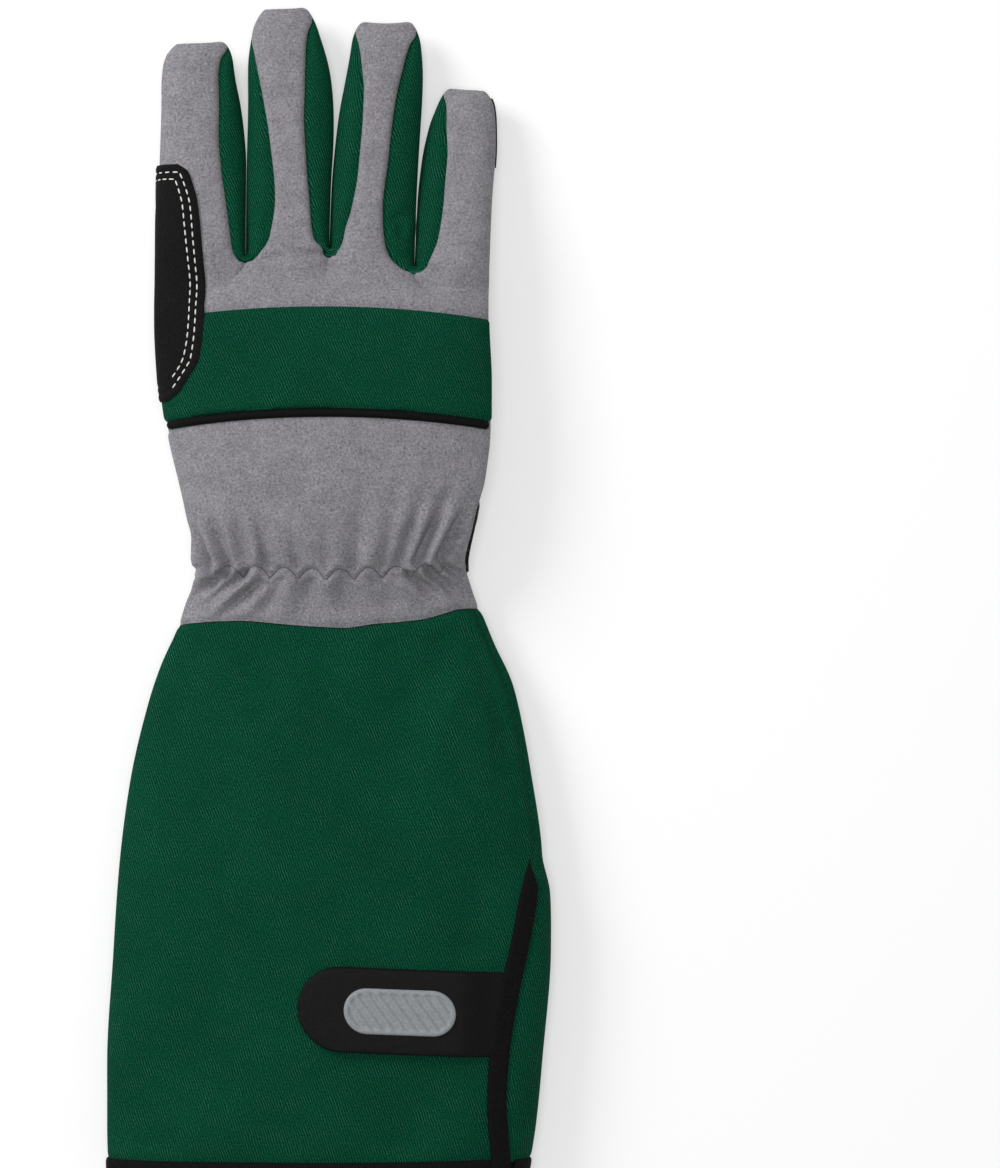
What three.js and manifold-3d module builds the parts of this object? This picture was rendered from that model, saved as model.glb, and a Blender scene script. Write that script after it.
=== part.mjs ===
import * as THREE from 'three';
import * as BufferGeometryUtils from 'three/addons/utils/BufferGeometryUtils.js';
import Module from 'manifold-3d';

const wasm = await Module();
wasm.setup();

// Right-hand pruning gauntlet lying on its palm with the thumb folded under it.
// Millimetres, fingers towards +Y, back of the hand up, thumb side at -X.

// Sizes of the hand
const HAND_WIDTH = 117;
const HAND_LENGTH = 129.5;
const HAND_THICKNESS = 20;
const FINGER_HEIGHT = 16;
const THUMB_THICKNESS = 10;
const THUMB_FLOOR = 1.7;
const PALM_RISE = 14;
const INDEX_LENGTH = 79.3;
const MIDDLE_LENGTH = 90.3;
const RING_LENGTH = 87.1;
const LITTLE_LENGTH = 66.5;
const CROTCH_BULGE = 3;

// Sizes of the cuff
const CUFF_LENGTH = 198;
const CUFF_WIDTH = 153;
const CUFF_THICKNESS = 30;
const BINDING_WIDTH = 7;
const HEM_WIDTH = 7.5;

// Walls, patches and clearances
const SUEDE_WALL = 1.3;
const TWILL_WALL = 1.1;
const PATCH_WALL = 1;
const BINDING_EXTRA = 0.5;
const PIPING_PROUD = 0.8;
const GAP = 0.3;

// Opening through which the thumb joins the palm, and the seam round it
const THUMB_HOLE_WIDTH = 30;
const THUMB_HOLE_LENGTH = 50;
const WELT_WIDTH = 1.6;
const WELT_DEPTH = 6;

// Closing strap, its pad and its badge
const STRAP_WIDTH = 30;
const STRAP_LENGTH = 70;
const STRAP_WALL = 1.8;
const STRAP_FROM_SEAM = 135;
const STRAP_TILT = -0.045;
const PAD_LENGTH = 44;
const PAD_WIDTH = 22;
const PAD_WALL = 1.2;
const PAD_INSET = 8;
const BADGE_LENGTH = 39;
const BADGE_WIDTH = 16;
const BADGE_WALL = 0.8;
const BADGE_INSET = 16;

// Shape of the cross sections
const DOME_POWER = 2.2;
const CORNER_SHARE = 0.25;
const EDGE_SHARE = 0.45;

// Outline and height of the hand from the wrist seam at 0 to the finger crotches at 1.
// left and right are shares of HAND_WIDTH, floor of PALM_RISE, thick of HAND_THICKNESS.
// thumbEdge is how high the thumb-side edge lies in the thickness.
const HAND = [
  { at: 0, left: 0.456, right: 0.462, floor: 0, thick: 1, thumbEdge: 0.45 },
  { at: 0.06, left: 0.435, right: 0.441, floor: 0.22, thick: 0.9, thumbEdge: 0.36 },
  { at: 0.13, left: 0.403, right: 0.424, floor: 0.6, thick: 0.84, thumbEdge: 0.22 },
  { at: 0.225, left: 0.414, right: 0.441, floor: 0.9, thick: 0.9, thumbEdge: 0.17 },
  { at: 0.307, left: 0.432, right: 0.462, floor: 1, thick: 0.98, thumbEdge: 0.15 },
  { at: 0.39, left: 0.453, right: 0.483, floor: 1, thick: 1.04, thumbEdge: 0.15 },
  { at: 0.526, left: 0.486, right: 0.499, floor: 1, thick: 1.06, thumbEdge: 0.18 },
  { at: 0.65, left: 0.503, right: 0.5, floor: 1, thick: 1.02, thumbEdge: 0.3 },
  { at: 0.82, left: 0.511, right: 0.493, floor: 1, thick: 0.94, thumbEdge: 0.45 },
  { at: 1, left: 0.511, right: 0.495, floor: 0.84, thick: 0.8, thumbEdge: 0.5 },
];

// Wrist seam: its rise above the middle, from the thumb side to the other, as shares of HAND_WIDTH.
const SEAM = [
  { at: -0.475, rise: -0.018 },
  { at: -0.387, rise: -0.009 },
  { at: -0.1, rise: -0.014 },
  { at: 0.1, rise: -0.014 },
  { at: 0.29, rise: 0.008 },
  { at: 0.381, rise: 0.034 },
  { at: 0.462, rise: 0.042 },
];

// Outline and height of the cuff from the wrist seam at 0 to the hem at 1.
// left and right are shares of CUFF_WIDTH, thick of CUFF_THICKNESS.
const CUFF = [
  { at: 0, left: 0.349, right: 0.353, thick: 0.667 },
  { at: 0.068, left: 0.389, right: 0.391, thick: 0.75 },
  { at: 0.14, left: 0.419, right: 0.432, thick: 0.82 },
  { at: 0.283, left: 0.461, right: 0.474, thick: 0.92 },
  { at: 0.427, left: 0.484, right: 0.5, thick: 0.98 },
  { at: 0.6, left: 0.499, right: 0.507, thick: 1 },
  { at: 0.785, left: 0.512, right: 0.488, thick: 1 },
  { at: 0.9, left: 0.512, right: 0.474, thick: 1 },
  { at: 1, left: 0.508, right: 0.45, thick: 1 },
];

// Where the edge of the slit lies on the back, as a share of the cuff's width at that height.
const SLIT = [
  { at: 0.409, edge: 0.985 },
  { at: 0.5, edge: 0.937 },
  { at: 0.572, edge: 0.921 },
  { at: 0.64, edge: 0.899 },
  { at: 0.8, edge: 0.885 },
  { at: 0.87, edge: 0.887 },
  { at: 0.93, edge: 0.905 },
  { at: 1, edge: 0.93 },
];
const SLIT_TOP = 0.409;
const SIDE_SEAM = 0.985;

// Finger cross sections from the crotch at 0 to the tip at 1.
// width is a share of the half width, height of the half height, web pulls the seams to the crotch,
// seam is the height of the seams as a share of the height.
const FINGER = [
  { at: 0, width: 1, height: 1, web: 1, seam: 0.72 },
  { at: 0.03, width: 1, height: 1, web: 0.4, seam: 0.76 },
  { at: 0.07, width: 1, height: 1, web: 0.16, seam: 0.78 },
  { at: 0.2, width: 1, height: 0.98, web: 0, seam: 0.8 },
  { at: 0.4, width: 0.99, height: 0.96, web: 0, seam: 0.8 },
  { at: 0.6, width: 0.96, height: 0.93, web: 0, seam: 0.78 },
  { at: 0.75, width: 0.92, height: 0.88, web: 0, seam: 0.72 },
  { at: 0.88, width: 0.82, height: 0.77, web: 0, seam: 0.6 },
  { at: 0.97, width: 0.61, height: 0.5, web: 0, seam: 0 },
  { at: 1, width: 0.42, height: 0, web: 0, seam: 0 },
];
const FOURCHETTE_END = 0.97;

// Fingers from the thumb side. start and end are shares of the hand's width at the crotches,
// startDrop and endDrop are how far each crotch lies below the highest one, as shares of HAND_LENGTH,
// and lean is how far the tip leans over, as a share of HAND_WIDTH.
// Each seam list gives its share of the half width at the root, the middle and the tip;
// an outer side without a fourchette has none.
const FINGERS = [
  {
    name: 'index', length: INDEX_LENGTH, lean: -0.0162, patch: 0.31,
    start: 0, end: 0.265, startDrop: 0.0193, endDrop: 0.0193,
    leftSeam: null, rightSeam: [0.59, 0.44, 0.48],
  },
  {
    name: 'middle', length: MIDDLE_LENGTH, lean: -0.0085, patch: 0.53,
    start: 0.265, end: 0.515, startDrop: 0.0193, endDrop: 0,
    leftSeam: [0.33, 0.57, 0.78], rightSeam: [0.53, 0.43, 0.5],
  },
  {
    name: 'ring', length: RING_LENGTH, lean: 0.0368, patch: 0.5,
    start: 0.515, end: 0.771, startDrop: 0, endDrop: 0.0494,
    leftSeam: [0.48, 0.4, 0.6], rightSeam: [0.28, 0.39, 0.62],
  },
  {
    name: 'little', length: LITTLE_LENGTH, lean: 0.03, patch: 0.42,
    start: 0.771, end: 1, startDrop: 0.0494, endDrop: 0.0494,
    leftSeam: [0.43, 0.38, 0.42], rightSeam: null,
  },
];
const FINGER_COLUMNS = 6;
const SEAM_PLACES = { root: 0.2, middle: 0.6, tip: 0.86 };
const TIP_DOWN = 0.9;
// Thumb outline from the wrist at 0, in the hand's own shares, its thickness share and how high
// it lies, as a share of THUMB_FLOOR.
const THUMB = [
  { at: 0.08, left: -0.36, right: 0.01, thick: 0, low: 1 },
  { at: 0.1, left: -0.38, right: 0.045, thick: 0.48, low: 0.1 },
  { at: 0.15, left: -0.395, right: 0.09, thick: 0.7, low: 0.4 },
  { at: 0.22, left: -0.405, right: 0.125, thick: 0.88, low: 0.8 },
  { at: 0.33, left: -0.43, right: 0.177, thick: 1, low: 1 },
  { at: 0.46, left: -0.465, right: 0.238, thick: 1, low: 1 },
  { at: 0.53, left: -0.465, right: 0.268, thick: 1, low: 1 },
  { at: 0.58, left: -0.4, right: 0.292, thick: 1, low: 1 },
  { at: 0.64, left: -0.265, right: 0.322, thick: 1, low: 1 },
  { at: 0.72, left: -0.092, right: 0.35, thick: 1, low: 1 },
  { at: 0.8, left: 0.074, right: 0.359, thick: 0.95, low: 1 },
  { at: 0.87, left: 0.153, right: 0.335, thick: 0.8, low: 1 },
  { at: 0.905, left: 0.195, right: 0.298, thick: 0.56, low: 1.2 },
  { at: 0.925, left: 0.225, right: 0.268, thick: 0, low: 2.6 },
];
const THUMB_POWER = 3;
const THUMB_COLUMNS = 10;
const THUMB_HOLE = { across: -0.2, along: 0.38, points: 20 };

// Lines across the back of the hand, at the middle, and how far they drop at the sides.
const BAND_TOP = 0.857;
const PIPING_TOP = 0.578;
const PIPING_BOTTOM = 0.551;
const LINE_BOW = 0.026;
const BAND_ROWS = 2;
const BACK_ROWS = 3;

// Gathers of the wrist: how many flutes, how deep, and where the elastic lies.
const FLUTES = 8;
const FLUTE_DEPTH = 1.3;
const ELASTIC = 0.12;
const WRIST_ROWS = [0.45, 0.36, 0.28, 0.21, 0.16, 0.12, 0.08, 0.04, 0];
const FLUTE_FADE = [
  { at: 0, share: 0.35 },
  { at: 0.06, share: 0.8 },
  { at: ELASTIC, share: 1 },
  { at: 0.25, share: 0.45 },
  { at: 0.4, share: 0.1 },
  { at: 0.55, share: 0 },
];

// Patch outlines on the palm: across is a share of HAND_WIDTH, along of HAND_LENGTH.
const PATCHES = {
  palm_patch_upper: [
    [-0.33, 0.93], [-0.27, 0.93], [-0.22, 0.865], [-0.15, 0.92], [-0.09, 0.965], [-0.03, 0.93],
    [0.04, 0.885], [0.12, 0.935], [0.18, 0.965], [0.25, 0.92], [0.27, 0.84], [0.2, 0.8],
    [0.04, 0.79], [-0.1, 0.7], [-0.19, 0.6], [-0.27, 0.66], [-0.33, 0.79],
  ],
  palm_patch_outer: [
    [0.34, 0.9], [0.4, 0.955], [0.46, 0.93], [0.47, 0.8], [0.465, 0.55], [0.455, 0.3],
    [0.44, 0.16], [0.4, 0.12], [0.36, 0.17], [0.3, 0.3], [0.23, 0.44], [0.25, 0.6], [0.3, 0.78],
  ],
  palm_patch_heel: [
    [0.19, 0.42], [0.215, 0.3], [0.222, 0.17], [0.19, 0.1], [0.13, 0.09], [0.08, 0.13],
    [0.08, 0.26], [0.08, 0.4], [0.13, 0.48],
  ],
};
const OUTLINE_STEPS = 2;

// Web patch along the index side, from its lower end at 0 to its top at 1: how far it reaches over
// the back and over the palm, as shares of HAND_WIDTH.
const WEB_SIDE = [
  { at: 0, back: 0.03, palm: 0.12 },
  { at: 0.05, back: 0.08, palm: 0.115 },
  { at: 0.18, back: 0.125, palm: 0.115 },
  { at: 0.3, back: 0.14, palm: 0.11 },
  { at: 0.5, back: 0.145, palm: 0.094 },
  { at: 0.68, back: 0.134, palm: 0.05 },
  { at: 0.8, back: 0.125, palm: 0.02 },
  { at: 0.92, back: 0.105, palm: 0.012 },
  { at: 1, back: 0.05, palm: 0.01 },
];
const WEB_BOTTOM = 0.6;
const WEB_TOP = 0.435;
const WEB_COLUMNS = 5;

// Edge of the same patch's lower part on the thumb.
const WEB_THUMB = [
  [-0.49, 0.6], [-0.49, 0.47], [-0.36, 0.455], [-0.2, 0.465], [-0.09, 0.495], [0, 0.57],
  [0.085, 0.68], [0.12, 0.78], [0.1, 0.88], [0, 0.84], [-0.2, 0.72],
];

// Fingertip patches keep this far inside the finger's seams and end below the tip.
const TIP_PATCH_REACH = 0.9;
const TIP_PATCH_END = 0.945;
const TIP_PATCH_ROWS = 5;

// Sheets lie on one skin, whose seams are shared by neighbours, and are thickened inwards from it.
const MERGE = 1e4;
const TINY = 1e-6;
const MITER_LEAST = 0.5;

function smooth(low, high, value) {
  const share = Math.min(1, Math.max(0, (value - low) / (high - low)));
  return share * share * (3 - 2 * share);
}

function blend(from, to, share) {
  return from + (to - from) * share;
}

// Smooth value of one column of a table, without overshoot between its rows.
function sample(rows, key, at) {
  const last = rows.length - 1;
  if (at <= rows[0].at) {
    return rows[0][key];
  }
  if (at >= rows[last].at) {
    return rows[last][key];
  }
  let low = 0;
  while (at > rows[low + 1].at) {
    low += 1;
  }
  const slope = (k) => (rows[k + 1][key] - rows[k][key]) / (rows[k + 1].at - rows[k].at);
  const tangent = (k) => {
    if (k === 0 || k === last) {
      return slope(Math.min(k, last - 1));
    }
    const before = slope(k - 1);
    const after = slope(k);
    return before * after <= 0 ? 0 : (2 * before * after) / (before + after);
  };
  const span = rows[low + 1].at - rows[low].at;
  const s = (at - rows[low].at) / span;
  const rest = 1 - s;
  return rows[low][key] * (1 + 2 * s) * rest * rest
    + rows[low + 1][key] * (3 - 2 * s) * s * s
    + span * s * rest * (tangent(low) * rest - tangent(low + 1) * s);
}

class Skin {
  constructor() {
    this.points = [];
    this.lifts = [];
    this.level = [];
    this.keys = new Map();
    this.panels = new Map();
  }

  vertex([x, y, z], lift = 0, level = false) {
    const key = [x, y, z, lift].map((value) => Math.round(value * MERGE)).join(' ');
    if (!this.keys.has(key)) {
      this.keys.set(key, this.points.length);
      this.points.push(new THREE.Vector3(x, y, z));
      this.lifts.push(lift);
      this.level.push(level);
    }
    return this.keys.get(key);
  }

  // Adds a grid of vertex numbers to a panel; turned flips which way the panel faces.
  grid(panel, rows, turned = false) {
    const triangles = this.panels.get(panel) || [];
    this.panels.set(panel, triangles);
    const add = (a, b, c) => {
      if (a !== b && b !== c && c !== a) {
        triangles.push(turned ? [a, c, b] : [a, b, c]);
      }
    };
    for (let i = 0; i + 1 < rows.length; i += 1) {
      for (let j = 0; j + 1 < rows[i].length; j += 1) {
        add(rows[i][j], rows[i][j + 1], rows[i + 1][j + 1]);
        add(rows[i][j], rows[i + 1][j + 1], rows[i + 1][j]);
      }
    }
  }

  computeNormals() {
    this.normals = this.points.map(() => new THREE.Vector3());
    for (const triangles of this.panels.values()) {
      const own = new Map();
      for (const [a, b, c] of triangles) {
        const ab = this.points[b].clone().sub(this.points[a]);
        const ac = this.points[c].clone().sub(this.points[a]);
        const normal = ab.cross(ac);
        for (const index of [a, b, c]) {
          own.set(index, (own.get(index) || new THREE.Vector3()).add(normal));
        }
      }
      own.forEach((normal, index) => this.normals[index].add(normal.normalize()));
    }
    this.normals.forEach((normal, index) => {
      if (this.level[index]) {
        normal.y = 0;
      }
      normal.normalize();
    });
  }

  // One panel as a closed wall. raise moves its outer face out from the skin, inset draws in its rim.
  solid(panel, wall, raise = 0, inset = GAP / 2) {
    const triangles = this.panels.get(panel);
    const edges = new Map();
    for (const [a, b, c] of triangles) {
      for (const [from, to] of [[a, b], [b, c], [c, a]]) {
        const back = `${to} ${from}`;
        if (edges.has(back)) {
          edges.delete(back);
        } else {
          edges.set(`${from} ${to}`, [from, to]);
        }
      }
    }
    const pulls = new Map();
    for (const [from, to] of edges.values()) {
      const along = this.points[to].clone().sub(this.points[from]);
      for (const index of [from, to]) {
        const inward = this.normals[index].clone().cross(along).normalize();
        pulls.set(index, [...(pulls.get(index) || []), inward]);
      }
    }
    const used = [...new Set(triangles.flat())];
    const place = new Map(used.map((index, order) => [index, order]));
    const outer = [];
    const inner = [];
    for (const index of used) {
      const normal = this.normals[index];
      const top = this.points[index].clone().addScaledVector(normal, raise + this.lifts[index]);
      const inwards = pulls.get(index);
      if (inwards) {
        const sum = inwards.reduce((total, one) => total.add(one), new THREE.Vector3());
        if (sum.length() > TINY) {
          sum.normalize();
          const miter = Math.max(MITER_LEAST, Math.abs(sum.dot(inwards[0])));
          top.addScaledVector(sum, inset / miter);
        }
      }
      outer.push(top.x, top.y, top.z);
      const under = top.clone().addScaledVector(normal, -wall);
      inner.push(under.x, under.y, under.z);
    }
    const count = used.length;
    const indices = [];
    for (const [a, b, c] of triangles) {
      indices.push(place.get(a), place.get(b), place.get(c));
      indices.push(count + place.get(c), count + place.get(b), count + place.get(a));
    }
    for (const [from, to] of edges.values()) {
      const a = place.get(from);
      const b = place.get(to);
      indices.push(b, a, count + a, b, count + a, count + b);
    }
    const geometry = new THREE.BufferGeometry();
    geometry.setAttribute('position', new THREE.Float32BufferAttribute([...outer, ...inner], 3));
    geometry.setIndex(indices);
    return geometry;
  }
}

// Shape of the hand
const COLUMNS = FINGERS.length * FINGER_COLUMNS;

function dome(share) {
  const across = Math.min(1, Math.abs(2 * share - 1));
  return (1 - across ** DOME_POWER) ** (1 / DOME_POWER);
}

function tray(share) {
  const across = Math.min(1, Math.abs(2 * share - 1));
  const corner = Math.max(0, (across - (1 - CORNER_SHARE)) / CORNER_SHARE);
  return Math.sqrt(Math.max(0, 1 - corner * corner));
}

function handSection(v) {
  const floor = PALM_RISE * sample(HAND, 'floor', v);
  const thick = HAND_THICKNESS * sample(HAND, 'thick', v);
  return {
    left: -HAND_WIDTH * sample(HAND, 'left', v),
    right: HAND_WIDTH * sample(HAND, 'right', v),
    floor,
    top: floor + thick,
    leftEdge: floor + thick * sample(HAND, 'thumbEdge', v),
    rightEdge: floor + thick * EDGE_SHARE,
  };
}

function sectionHeight(section, share, isBack) {
  const edge = blend(section.leftEdge, section.rightEdge, share);
  if (isBack) {
    return edge + (section.top - edge) * dome(share);
  }
  return edge - (edge - section.floor) * tray(share);
}

function fingerShape(finger, t) {
  const hand = handSection(1);
  const start = blend(hand.left, hand.right, finger.start);
  const end = blend(hand.left, hand.right, finger.end);
  const halfWidth = (end - start) / 2;
  const halfHeight = (FINGER_HEIGHT / 2) * sample(FINGER, 'height', t);
  const middle = (start + end) / 2 + finger.lean * HAND_WIDTH * t;
  const reach = sample(FINGER, 'width', t) * (halfWidth - (t > 0 ? GAP : 0));
  const web = sample(FINGER, 'web', t);
  const seamOf = (seam) => {
    if (seam === null || t === 0) {
      return reach;
    }
    const rows = [
      { at: SEAM_PLACES.root, share: seam[0] },
      { at: SEAM_PLACES.middle, share: seam[1] },
      { at: SEAM_PLACES.tip, share: seam[2] },
      { at: FOURCHETTE_END, share: sample(FINGER, 'width', FOURCHETTE_END) },
      { at: 1, share: sample(FINGER, 'width', 1) },
    ];
    const share = sample(rows, 'share', t);
    return (halfWidth - GAP) * (t >= FOURCHETTE_END ? sample(FINGER, 'width', t) : blend(share, 1, web));
  };
  const seamHeight = sample(FINGER, 'seam', t);
  const tipLift = blend(hand.floor, THUMB_FLOOR, smooth(0, TIP_DOWN, t));
  return {
    start,
    end,
    middle,
    reach,
    halfHeight,
    centre: tipLift + FINGER_HEIGHT / 2,
    leftSeam: seamOf(finger.leftSeam),
    rightSeam: seamOf(finger.rightSeam),
    leftHeight: finger.leftSeam ? seamHeight : 0,
    rightHeight: finger.rightSeam ? seamHeight : 0,
  };
}

function fingerBase(finger, share) {
  return HAND_LENGTH * (1 - blend(finger.startDrop, finger.endDrop, share));
}

function fingerY(finger, share, t) {
  const root = fingerBase(finger, share);
  const tip = fingerBase(finger, 0.5) + finger.length;
  return blend(root, tip, t);
}

// A point on the back (side 1) or the front (side -1) of a finger; across runs from -1 to 1.
function fingerPoint(finger, across, t, side) {
  const shape = fingerShape(finger, t);
  const share = (across + 1) / 2;
  const x = blend(shape.middle - shape.leftSeam, shape.middle + shape.rightSeam, share);
  const edge = across < 0 ? shape.leftHeight : shape.rightHeight;
  const height = edge + (1 - edge) * Math.sqrt(Math.max(0, 1 - across * across));
  return [x, fingerY(finger, share, t), shape.centre + side * shape.halfHeight * height];
}

function fingerAcross(column) {
  return -Math.cos((Math.PI * column) / FINGER_COLUMNS);
}

// The wavy seam between the hand and the cuff.
function seamY(x) {
  return HAND_WIDTH * sample(SEAM, 'rise', x / HAND_WIDTH);
}

function lineAt(middle, share) {
  return middle - LINE_BOW * (2 * share - 1) ** 2;
}

// A point on the hand at the wrist-to-crotch share v. share is its place between the side edges.
function handPoint(share, v, isBack) {
  const section = handSection(v);
  const x = blend(section.left, section.right, share);
  return [x, blend(seamY(x), HAND_LENGTH, v), sectionHeight(section, share, isBack)];
}

const ROOT_BLEND = 0.78;

function columnPoint(column, v, isBack) {
  const share = (1 - Math.cos((Math.PI * column) / COLUMNS)) / 2;
  const plain = handPoint(share, v, isBack);
  const toRoot = smooth(ROOT_BLEND, 1, v);
  if (toRoot === 0) {
    return plain;
  }
  const number = Math.min(FINGERS.length - 1, Math.floor(column / FINGER_COLUMNS));
  const finger = FINGERS[number];
  const across = fingerAcross(column - number * FINGER_COLUMNS);
  const root = fingerPoint(finger, across, 0, isBack ? 1 : -1);
  const rootY = blend(seamY(plain[0]), root[1], v);
  return [blend(plain[0], root[0], toRoot), blend(plain[1], rootY, toRoot), blend(plain[2], root[2], toRoot)];
}

const skin = new Skin();

function fineRows(from, to, count) {
  return Array.from({ length: count + 1 }, (_, i) => blend(from, to, i / count));
}

function columnShare(column) {
  return (1 - Math.cos((Math.PI * column) / COLUMNS)) / 2;
}

function handRow(v, isBack, bow) {
  const row = [];
  for (let column = 0; column <= COLUMNS; column += 1) {
    const line = v - bow * (2 * columnShare(column) - 1) ** 2;
    row.push(skin.vertex(columnPoint(column, line, isBack)));
  }
  return row;
}

const FINGER_ROWS = FINGER.map((row) => row.at);

function fingerRows(finger, side, from = 0) {
  return FINGER_ROWS.filter((t) => t >= from).map((t) => {
    const row = [];
    for (let column = 0; column <= FINGER_COLUMNS; column += 1) {
      row.push(skin.vertex(fingerPoint(finger, fingerAcross(column), t, side)));
    }
    return row;
  });
}

// Rows of the back, from the crotches down to the wrist. Each has its own bow.
const backRows = fineRows(1, BAND_TOP, BACK_ROWS).map((v, i) => ({ v, bow: (LINE_BOW * i) / BACK_ROWS }));
const bandRows = fineRows(BAND_TOP, PIPING_TOP, BAND_ROWS).map((v) => ({ v, bow: LINE_BOW }));
const pipingRows = [{ v: PIPING_TOP, bow: LINE_BOW }, { v: PIPING_BOTTOM, bow: LINE_BOW }];

function addBackPanel(name, rows) {
  skin.grid(name, rows.map(({ v, bow }) => handRow(v, true, bow)).reverse());
}

addBackPanel('hand_back', backRows);
addBackPanel('knuckle_band', bandRows);
addBackPanel('band_piping', pipingRows);
for (const finger of FINGERS) {
  skin.grid('hand_back', fingerRows(finger, 1));
  skin.grid('palm_panel', fingerRows(finger, -1), true);
}

// The gathered wrist back has finer columns, four for each flute.
const WRIST_COLUMNS = FLUTES * 4;
const WRIST_CLUSTER = 0.035;

function wristShare(column) {
  const even = column / WRIST_COLUMNS;
  return even - WRIST_CLUSTER * Math.sin(2 * Math.PI * even);
}

function wristPoint(column, v) {
  const share = wristShare(column);
  const point = handPoint(share, v - (v >= PIPING_BOTTOM ? LINE_BOW * (2 * share - 1) ** 2 : 0), true);
  const depth = FLUTE_DEPTH * sample(FLUTE_FADE, 'share', v) * Math.min(1, dome(share) ** 3);
  point[2] += depth * Math.cos((2 * Math.PI * column * FLUTES) / WRIST_COLUMNS);
  return point;
}

const wristRows = [PIPING_BOTTOM, ...WRIST_ROWS].map((v) => {
  const row = [];
  for (let column = 0; column <= WRIST_COLUMNS; column += 1) {
    row.push(skin.vertex(wristPoint(column, v), 0, v === 0));
  }
  return row;
});
skin.grid('wrist_back', wristRows.slice().reverse());

const edgeRows = [...backRows, ...bandRows.slice(1), pipingRows[1]]
  .map(({ v, bow }) => v - bow)
  .concat(WRIST_ROWS);
const palmRows = edgeRows.map((v) => {
  const row = [];
  for (let column = 0; column <= COLUMNS; column += 1) {
    row.push(skin.vertex(columnPoint(column, v, false), 0, v === 0));
  }
  return row;
});
skin.grid('palm_panel', palmRows.slice().reverse(), true);

// Fourchettes run down one finger, round the crotch and up the next.
const FOURCHETTE_STEPS = 4;

function fourchetteColumn(finger, t, side) {
  const shape = fingerShape(finger, t);
  const isRight = side > 0;
  const seam = shape.middle + side * (isRight ? shape.rightSeam : shape.leftSeam);
  const reach = shape.middle + side * shape.reach;
  const height = shape.halfHeight * (isRight ? shape.rightHeight : shape.leftHeight);
  const y = fingerY(finger, isRight ? 1 : 0, t);
  const column = [];
  for (let step = 0; step <= FOURCHETTE_STEPS; step += 1) {
    const angle = Math.PI / 2 - (Math.PI * step) / FOURCHETTE_STEPS;
    const out = Math.abs(Math.cos(angle)) < TINY ? 0 : Math.cos(angle);
    const bulge = t === 0 ? CROTCH_BULGE * out : 0;
    column.push(skin.vertex([blend(seam, reach, out), y + bulge, shape.centre + height * Math.sin(angle)]));
  }
  return column;
}

const sideRows = FINGER_ROWS.filter((t) => t <= FOURCHETTE_END);
for (let k = 0; k + 1 < FINGERS.length; k += 1) {
  const down = sideRows.slice().reverse().map((t) => fourchetteColumn(FINGERS[k], t, 1));
  const up = sideRows.slice(1).map((t) => fourchetteColumn(FINGERS[k + 1], t, -1));
  skin.grid(`fourchette_${FINGERS[k].name}_${FINGERS[k + 1].name}`, [...down, ...up], true);
}
skin.computeNormals();

// Shape of the cuff. Its sections run on from the wrist seam.
const cuffSkin = new Skin();

function cuffSection(w) {
  const top = CUFF_THICKNESS * sample(CUFF, 'thick', w);
  return {
    left: -CUFF_WIDTH * sample(CUFF, 'left', w),
    right: CUFF_WIDTH * sample(CUFF, 'right', w),
    floor: 0,
    top,
    leftEdge: top * EDGE_SHARE,
    rightEdge: top * EDGE_SHARE,
  };
}

function cuffPoint(share, w, isBack) {
  const section = cuffSection(w);
  const x = blend(section.left, section.right, share);
  const y = blend(seamY(x), -CUFF_LENGTH, w);
  return [x, y, sectionHeight(section, share, isBack)];
}

const CUFF_COLUMNS = 18;
const FLAP_COLUMNS = 3;
const CORNER_COLUMNS = 3;
const FLOOR_COLUMNS = 9;
const HEM_START = 1 - HEM_WIDTH / CUFF_LENGTH;
const CUFF_ROWS = [0, 0.07, 0.15, 0.25, 0.34, SLIT_TOP, 0.45, 0.51, 0.6, 0.7, 0.79, 0.88, HEM_START, 1];
const FLAP_LIFT = TWILL_WALL + 2 * GAP;
const LIFT_ROW = 0.45;

// Angle round the dome whose place across is the given share.
function domeAngle(share) {
  return Math.acos(Math.min(1, 2 * share - 1) ** (DOME_POWER / 2));
}

function domeShare(angle) {
  return (1 + Math.cos(angle) ** (2 / DOME_POWER)) / 2;
}

function slitEdge(w) {
  return w <= SLIT_TOP ? SIDE_SEAM : sample(SLIT, 'edge', w);
}

// Share at which the slit's binding ends, its own width away from the slit's edge round the dome.
const ARC_STEPS = 24;
const BINDING_MOST = 0.6;

function bindingEnd(w) {
  const start = domeAngle(slitEdge(w));
  const places = [];
  for (let step = 0; step <= ARC_STEPS; step += 1) {
    const [x, , z] = cuffPoint(domeShare(start * (1 - step / ARC_STEPS)), w, true);
    places.push(new THREE.Vector2(x, z));
  }
  let whole = 0;
  for (let step = 0; step < ARC_STEPS; step += 1) {
    whole += places[step].distanceTo(places[step + 1]);
  }
  const goal = Math.min(BINDING_WIDTH, BINDING_MOST * whole);
  let walked = 0;
  let step = 0;
  while (walked + places[step].distanceTo(places[step + 1]) < goal) {
    walked += places[step].distanceTo(places[step + 1]);
    step += 1;
  }
  const part = (goal - walked) / places[step].distanceTo(places[step + 1]);
  return domeShare(start * (1 - (step + part) / ARC_STEPS));
}

function cuffBackRow(w) {
  const row = [];
  for (let column = 0; column <= CUFF_COLUMNS; column += 1) {
    const even = column / CUFF_COLUMNS;
    const share = (SIDE_SEAM * (1 - Math.cos(Math.PI * even))) / (1 - Math.cos(Math.PI));
    row.push(cuffSkin.vertex(cuffPoint(share, w, true), 0, w === 0));
  }
  return row;
}

function liftAt(w) {
  return w < LIFT_ROW ? 0 : FLAP_LIFT;
}

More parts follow.
